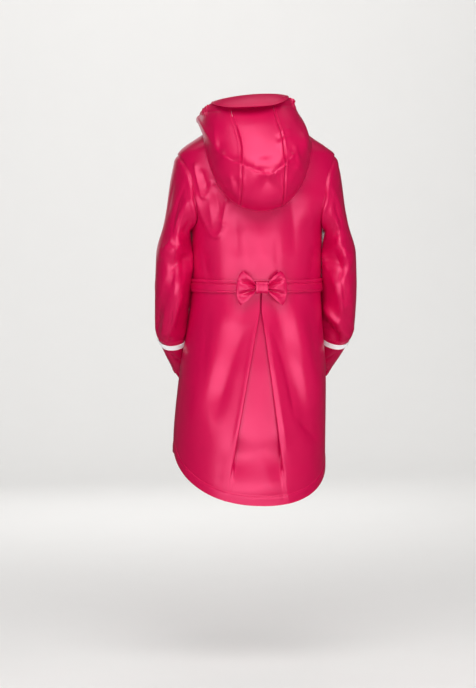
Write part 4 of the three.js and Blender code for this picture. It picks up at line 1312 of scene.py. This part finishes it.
def make_materials():
    colours = bpy.context.scene.raincoat_colours
    coated_grain_group()
    knit_group()

    _, tree, shader = new_material(
        "coated_cloth", 0.4, IOR=1.58, Specular_IOR_Level=1.0, Specular_Tint=(1.0, 0.24, 0.42, 1),
    )
    grain = group_node(tree, "Coated grain", Grain_scale=620.0)
    cloth = colours.cloth
    surface(tree, shader, grain, cloth, shade(cloth, 0.93), (0.31, 0.38), (0.22, 0.0004))

    _, tree, shader = new_material("knit_backing", 0.85, Specular_IOR_Level=0.25)
    knit = group_node(tree, "Knit", Rib_scale=360.0)
    backing = colours.backing
    surface(tree, shader, knit, backing, shade(backing, 0.85), (0.8, 0.92), (0.5, 0.0005))

    for name, thread in (("sewing_thread", colours.thread), ("tape_thread", colours.tape)):
        _, tree, shader = new_material(name, 0.6)
        knit = group_node(tree, "Knit", Rib_scale=1600.0)
        surface(tree, shader, knit, thread, shade(thread, 0.85), (0.55, 0.7), (0.6, 0.0002))

    _, tree, shader = new_material("reflective_tape", 0.34, Specular_IOR_Level=0.6)
    place = tree.nodes.new("ShaderNodeUVMap")
    place.uv_map = "Cloth"
    split = tree.nodes.new("ShaderNodeSeparateXYZ")
    link(tree, place.outputs["UV"], split.inputs["Vector"])
    from_middle = maths(tree, "ABSOLUTE", maths(tree, "SUBTRACT", split.outputs["Y"], 0.5))
    middle = maths(tree, "LESS_THAN", from_middle, 0.2)
    grain = group_node(tree, "Coated grain", Grain_scale=1500.0)
    tape, inner = colours.tape, colours.tape_middle
    surface(tree, shader, grain, tape, inner, (0.3, 0.42), (0.3, 0.0002), tone=middle)

    _, tree, shader = new_material(
        "stud_plastic", 0.25, Specular_IOR_Level=0.5, Coat_Weight=0.3, Coat_Roughness=0.1,
    )
    grain = group_node(tree, "Coated grain", Grain_scale=900.0)
    stud = colours.stud
    surface(tree, shader, grain, stud, shade(stud, 0.9), (0.2, 0.32), (0.08, 0.0002))

    _, tree, shader = new_material("pale_backdrop", 0.8, Specular_IOR_Level=0.2)
    grain = group_node(tree, "Coated grain", Grain_scale=300.0)
    surface(tree, shader, grain, colours.backdrop, shade(colours.backdrop, 0.985))


def finish_of(*names):
    return [bpy.data.materials[name] for name in names]


# Sizes and colours that a user would change


class RaincoatSizes(bpy.types.PropertyGroup):
    cloth: bpy.props.FloatProperty(
        name="Cloth", description="Thickness of the coated cloth", default=0.0015,
        min=0.0008, max=0.003, precision=4, unit="LENGTH",
    )
    mesh_step: bpy.props.FloatProperty(
        name="Mesh step", description="Distance between the points of the cloth", default=0.0025,
        min=0.002, max=0.02, precision=4, unit="LENGTH",
    )
    stitch_length: bpy.props.FloatProperty(
        name="Stitch length", description="Length of one stitch that shows", default=0.0027,
        min=0.001, max=0.01, precision=4, unit="LENGTH",
    )
    stitch_pitch: bpy.props.FloatProperty(
        name="Stitch pitch", description="Distance from one stitch to the next", default=0.0036,
        min=0.0015, max=0.02, precision=4, unit="LENGTH",
    )
    stitch_width: bpy.props.FloatProperty(
        name="Thread width", description="Thickness of the thread", default=0.0008,
        min=0.0003, max=0.003, precision=4, unit="LENGTH",
    )
    light: bpy.props.FloatProperty(
        name="Light", description="Strength of all the lamps", default=1.0, min=0.0, max=5.0,
        subtype="FACTOR",
    )


def colour_property(name, description, default):
    return bpy.props.FloatVectorProperty(
        name=name, description=description, default=default, size=3, min=0, max=1, subtype="COLOR"
    )


class RaincoatColours(bpy.types.PropertyGroup):
    cloth: colour_property("Cloth", "The coated face of the cloth", (0.5, 0.0005, 0.056))
    backing: colour_property("Backing", "The knitted back of the cloth", (0.66, 0.012, 0.10))
    thread: colour_property("Thread", "The sewing thread", (0.74, 0.004, 0.095))
    stud: colour_property("Studs", "The press studs", (0.72, 0.006, 0.10))
    tape: colour_property("Tape", "The edges of the reflective tape", (0.88, 0.88, 0.9))
    tape_middle: colour_property("Tape middle", "The middle of the tape", (0.58, 0.6, 0.63))
    backdrop: colour_property("Backdrop", "The floor and the backdrop", (0.86, 0.85, 0.835))


# Operators


SIDES = ((1, "left"), (-1, "right"))
BOTH_FACES = ("coated_cloth", "knit_backing")


def sew(name, node, points, flat, area, thick=None, faces=BOTH_FACES, closed_round=False, **kind):
    piece = add_wall(name, points, thick or cloth_mm(), finish_of(*faces), closed_round=closed_round)
    as_sheet(piece, node, flat, area, **kind)


def stitch(name, lines, thread="sewing_thread"):
    add_stitching(name, lines, finish_of(thread)[0])


class MakeBodice(bpy.types.Operator):
    """Make the back bodice with the folds that fall from its left armhole"""

    bl_idname = "raincoat.make_bodice"
    bl_label = "Back bodice"

    def execute(self, context):
        points = bodice_back_points()
        sew("bodice_back_cloth", "bodice_back", points, (0.41, 0.36), 0.119, rests_on=["hood_centre"])
        return {"FINISHED"}


class MakeSkirt(bpy.types.Operator):
    """Make the back skirt with its inverted pleat, and the stitches of its hem"""

    bl_idname = "raincoat.make_skirt"
    bl_label = "Back skirt"

    def execute(self, context):
        points = skirt_back_points()
        sew("skirt_back_cloth", "skirt_back", points, (0.555, 0.43), 0.21)
        stitch("hem_stitching_back", [line_at_distance(points, HEM_TURN_UP, 0)])
        return {"FINISHED"}


class MakeWaistband(bpy.types.Operator):
    """Make the stitched waistband on the back"""

    bl_idname = "raincoat.make_waistband"
    bl_label = "Waistband"

    def execute(self, context):
        points = waistband_points()
        sew(
            "waistband_cloth", "waistband_back", points, (0.397, 0.029), 0.0111, TRIM,
            held="stretched", rests_on=["bodice_back"],
        )
        stitch("waistband_stitching", [line_at_distance(points, row, 0) for row in WAISTBAND_LINES])
        return {"FINISHED"}


class MakeFronts(bpy.types.Operator):
    """Make the two fronts and the stitches of their hems"""

    bl_idname = "raincoat.make_fronts"
    bl_label = "Fronts"

    def execute(self, context):
        for side, word in SIDES:
            points = front_points(side)
            sew("front_" + word + "_cloth", "front_" + word, points, (0.237, 0.79), 0.1265)
            stitch("hem_stitching_" + word, [line_at_distance(points, HEM_TURN_UP, 0)])
        return {"FINISHED"}


class MakeFlap(bpy.types.Operator):
    """Make the flap that covers the front closure, with its rows of stitches"""

    bl_idname = "raincoat.make_flap"
    bl_label = "Closure flap"

    def execute(self, context):
        points = flap_points()
        sew(
            "closure_flap_cloth", "closure_flap", points, (0.052, 0.62), 0.032,
            held="laid", rests_on=["front_left", "front_right"],
        )
        stitch("closure_stitching", [line_beside_edge(points, 6, 0), line_beside_edge(points, 6, -1)])
        return {"FINISHED"}


class MakeSleeves(bpy.types.Operator):
    """Make the two sleeves, their gathered cuffs and the reflective tapes on the forearms"""

    bl_idname = "raincoat.make_sleeves"
    bl_label = "Sleeves and tapes"

    def execute(self, context):
        for side, word in SIDES:
            node = "sleeve_" + word
            sew(node + "_cloth", node, sleeve_points(side), (0.36, 0.45), 0.1055, closed_round=True)
            band = tape_points(side)
            sew(
                "tape_" + word, "reflective_tape_" + word, band, (0.228, 0.0115), 0.0025, TRIM,
                ("reflective_tape",), closed_round=True,
                held="stretched", rests_on=[node], slot="reflective_tape",
            )
            lines = [grid_line(band, rows=row, closed_round=True) for row in TAPE_LINES]
            stitch("tape_stitching_" + word, lines, "tape_thread")
            lines = []
            for section in ABOVE_TAPE_LINES + (CUFF_CHANNEL + 0.05,):
                ring = sleeve_points(side, np.array([section + 0.02, section, section - 0.02]))
                lines.append(grid_line(ring, rows=1, closed_round=True))
            stitch("sleeve_stitching_" + word, lines)
        return {"FINISHED"}


class MakeHood(bpy.types.Operator):
    """Make the lowered hood: two side panels, the centre panel and the double rows of stitches"""

    bl_idname = "raincoat.make_hood"
    bl_label = "Hood"

    def execute(self, context):
        kind = {"held": "folded", "rests_on": ["bodice_back"]}
        centre = hood_centre_points()
        sew("hood_centre_cloth", "hood_centre", centre, (0.091, 0.497), 0.0418, **kind)
        lines = [line_beside_edge(centre, 4, 0), line_beside_edge(centre, 4, -1)]
        for side, word in SIDES:
            points = hood_side_points(side)
            node = "hood_side_" + word
            sew(node + "_cloth", node, points, (0.24, 0.36), 0.0468, **kind)
            lines.append(line_beside_edge(points, 4, -1 if side > 0 else 0))
            lines.append(line_at_distance(points, 14, -1))
        stitch("hood_stitching", lines)
        return {"FINISHED"}


class MakePeak(bpy.types.Operator):
    """Make the peak of the hood, turned back over it"""

    bl_idname = "raincoat.make_peak"
    bl_label = "Hood peak"

    def execute(self, context):
        points = peak_points()
        sew(
            "hood_peak_cloth", "hood_peak", points, (0.21, 0.055), 0.0074, TRIM, ("coated_cloth",),
            held="folded", rests_on=["hood_centre"],
        )
        stitch("peak_stitching", [line_at_distance(points, 6, 0)])
        return {"FINISHED"}


class MakeBow(bpy.types.Operator):
    """Make the bow on the waistband: two loops and the knot round their middle"""

    bl_idname = "raincoat.make_bow"
    bl_label = "Bow"

    def execute(self, context):
        kind = {"held": "folded", "rests_on": ["waistband_back"]}
        for side, word in SIDES:
            node = "bow_loop_" + word
            sew(node + "_cloth", node, bow_loop_points(side), (0.105, 0.074), 0.0044, TRIM, **kind)
        knot = bow_knot_points()
        sew("bow_knot_cloth", "bow_knot", knot, (0.068, 0.025), 0.0016, TRIM, closed_round=True, **kind)
        return {"FINISHED"}


class MakeStuds(bpy.types.Operator):
    """Make the press studs of the front closure: one is modelled, and the others are its copies"""

    bl_idname = "raincoat.make_studs"
    bl_label = "Press studs"

    def execute(self, context):
        template = model_stud(STUD_RADIUS / 1000, (STUD_HEIGHT + 0.4) / 1000)
        for number in range(STUD_COUNT):
            node = "press_stud_%d" % (number + 1)
            stud = template
            if number < STUD_COUNT - 1:
                stud = template.copy()
                stud.data = template.data.copy()
                context.scene.collection.objects.link(stud)
            stud.name = stud.data.name = node + "_cap"
            place_on_flap(stud, STUD_TOP_Z - STUD_PITCH * number)
            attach(stud, "root")
            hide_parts(node)
        return {"FINISHED"}


def select_faces(piece, wanted):
    """Leaves the piece in edit mode with just the wanted faces selected."""
    bpy.ops.object.mode_set(mode="EDIT")
    bpy.ops.mesh.select_mode(type="FACE")
    bpy.ops.mesh.select_all(action="DESELECT")
    bpy.ops.object.mode_set(mode="OBJECT")
    for face in piece.data.polygons:
        face.select = wanted(face)
    bpy.ops.object.mode_set(mode="EDIT")


def select_only(piece):
    bpy.ops.object.select_all(action="DESELECT")
    piece.select_set(True)
    bpy.context.view_layer.objects.active = piece


def model_stud(radius, height):
    """A cap with a rounded rim, a ring round its middle and a shallow dish, lying on the level z = 0."""
    bpy.ops.object.select_all(action="DESELECT")
    bpy.ops.mesh.primitive_cylinder_add(
        vertices=40, radius=radius, depth=height * 0.6, location=(0, 0, height * 0.3)
    )
    stud = bpy.context.object
    select_faces(stud, lambda face: face.normal.z > 0.9)
    for inset, rise in STUD_STEPS:
        bpy.ops.mesh.inset(thickness=inset)
        bpy.ops.transform.translate(value=(0, 0, height * rise))
    bpy.ops.object.mode_set(mode="OBJECT")
    rim = stud.modifiers.new("Rounded rim", "BEVEL")
    rim.width = 0.00022
    rim.segments = 2
    rim.limit_method = "ANGLE"
    rim.angle_limit = math.radians(25)
    select_only(stud)
    bpy.ops.object.modifier_apply(modifier=rim.name)
    bpy.ops.object.shade_smooth_by_angle(angle=math.radians(40))
    stud.data.materials.append(finish_of("stud_plastic")[0])
    return stud


def place_on_flap(piece, z):
    """Turns a piece that lies flat to face out from the middle of the flap and seats it there."""
    angle, level = np.meshgrid([-math.pi / 2 - 0.02, -math.pi / 2 + 0.02], [z - 2, z + 2])
    corners = body_point(angle, level)
    away = Vector(unit(np.cross(corners[0, 1] - corners[0, 0], corners[1, 0] - corners[0, 0])))
    middle = Vector(corners.mean((0, 1)) / 1000)
    piece.location = middle + away * (ON_TOP + CLOTH - 0.05) / 1000
    piece.rotation_euler = away.to_track_quat("Z", "Y").to_euler()
    select_only(piece)
    bpy.ops.object.transform_apply(location=True, rotation=True, scale=True)


# Floor, light and camera


def add_lamp(name, place, target, size, power, mirrored=True):
    lamp = bpy.data.lights.new(name, "AREA")
    lamp.shape = "RECTANGLE"
    lamp.size, lamp.size_y = size
    lamp.energy = power * bpy.context.scene.raincoat_sizes.light
    holder = bpy.data.objects.new(name, lamp)
    holder.location = place
    holder.rotation_euler = (Vector(target) - Vector(place)).to_track_quat("-Z", "Y").to_euler()
    holder.visible_camera = False
    holder.visible_glossy = mirrored
    bpy.context.scene.collection.objects.link(holder)


def from_target(azimuth, elevation, distance):
    """A place seen from the camera's target at an azimuth and an elevation, in degrees."""
    a, e = math.radians(azimuth), math.radians(elevation)
    back = Vector((math.sin(a) * math.cos(e), -math.cos(a) * math.cos(e), math.sin(e)))
    return Vector(CAMERA_TARGET) + back * distance


class MakeStage(bpy.types.Operator):
    """Make the floor that curves up into the backdrop, the lamps and the camera"""

    bl_idname = "raincoat.make_stage"
    bl_label = "Stage"

    def execute(self, context):
        scene = context.scene
        scene.view_settings.view_transform = "Standard"
        floor = np.array([(x, y, FLOOR_Z) for y in (5.0, FLOOR_END) for x in (6.0, -6.0)])
        floor = add_mesh("floor", floor, [(0, 1, 3, 2)], finish_of("pale_backdrop"))
        floor.visible_glossy = False
        profile = [(FLOOR_END, FLOOR_Z), (SWEEP_START, FLOOR_Z)]
        for k in range(1, 25):
            a = math.pi / 2 * k / 24
            y = SWEEP_START - SWEEP_RADIUS * math.sin(a)
            profile.append((y, FLOOR_Z + SWEEP_RADIUS * (1 - math.cos(a))))
        profile.append((SWEEP_START - SWEEP_RADIUS, FLOOR_Z + 6.0))
        verts = [(x, y, z) for y, z in profile for x in (6.0, -6.0)]
        faces = [(2 * k, 2 * k + 1, 2 * k + 3, 2 * k + 2) for k in range(len(profile) - 1)]
        sweep = add_mesh("sweep", np.array(verts), faces, finish_of("pale_backdrop"), 60)
        sweep.visible_glossy = False

        target = Vector(CAMERA_TARGET)
        for name, azimuth, elevation, distance, size, power, mirrored in LAMPS:
            add_lamp(name, from_target(azimuth, elevation, distance), target, size, power, mirrored)
        for name, place, aim, size, power in BACKDROP_LAMPS:
            add_lamp(name, place, aim, size, power)

        world = bpy.data.worlds.new("Dim room")
        world.use_nodes = True
        sky = world.node_tree.nodes["Background"]
        sky.inputs["Color"].default_value = (1.0, 1.0, 1.0, 1)
        sky.inputs["Strength"].default_value = WORLD_LIGHT
        scene.world = world

        camera = bpy.data.cameras.new("Camera")
        camera.lens = CAMERA_LENS
        camera.sensor_width = 36
        camera.clip_end = 60
        holder = bpy.data.objects.new("Camera", camera)
        holder.location = from_target(*CAMERA_PLACE)
        holder.rotation_mode = "QUATERNION"
        holder.rotation_quaternion = (target - holder.location).to_track_quat("-Z", "Y")
        scene.collection.objects.link(holder)
        scene.camera = holder
        return {"FINISHED"}


# Panel, registration and run


class RaincoatPanel(bpy.types.Panel):
    """Sizes, colours and the steps that make the jacket"""

    bl_idname = "VIEW3D_PT_raincoat"
    bl_label = "Rain jacket"
    bl_space_type = "VIEW_3D"
    bl_region_type = "UI"
    bl_category = "Rain jacket"

    def draw(self, context):
        layout = self.layout
        for group in (context.scene.raincoat_sizes, context.scene.raincoat_colours):
            for name in group.__annotations__:
                layout.prop(group, name)
        for step in STEPS:
            layout.operator(step.bl_idname)


STEPS = (
    MakeBodice, MakeSkirt, MakeWaistband, MakeFronts, MakeFlap, MakeSleeves, MakeHood, MakePeak,
    MakeBow, MakeStuds, MakeStage,
)
CLASSES = (RaincoatSizes, RaincoatColours, *STEPS, RaincoatPanel)


def register():
    for made in CLASSES:
        bpy.utils.register_class(made)
    bpy.types.Scene.raincoat_sizes = bpy.props.PointerProperty(type=RaincoatSizes)
    bpy.types.Scene.raincoat_colours = bpy.props.PointerProperty(type=RaincoatColours)


def unregister():
    del bpy.types.Scene.raincoat_colours
    del bpy.types.Scene.raincoat_sizes
    for made in reversed(CLASSES):
        bpy.utils.unregister_class(made)


def main():
    register()
    make_materials()
    for step in STEPS:
        group, name = step.bl_idname.split(".")
        getattr(getattr(bpy.ops, group), name)()


if __name__ == "__main__":
    main()
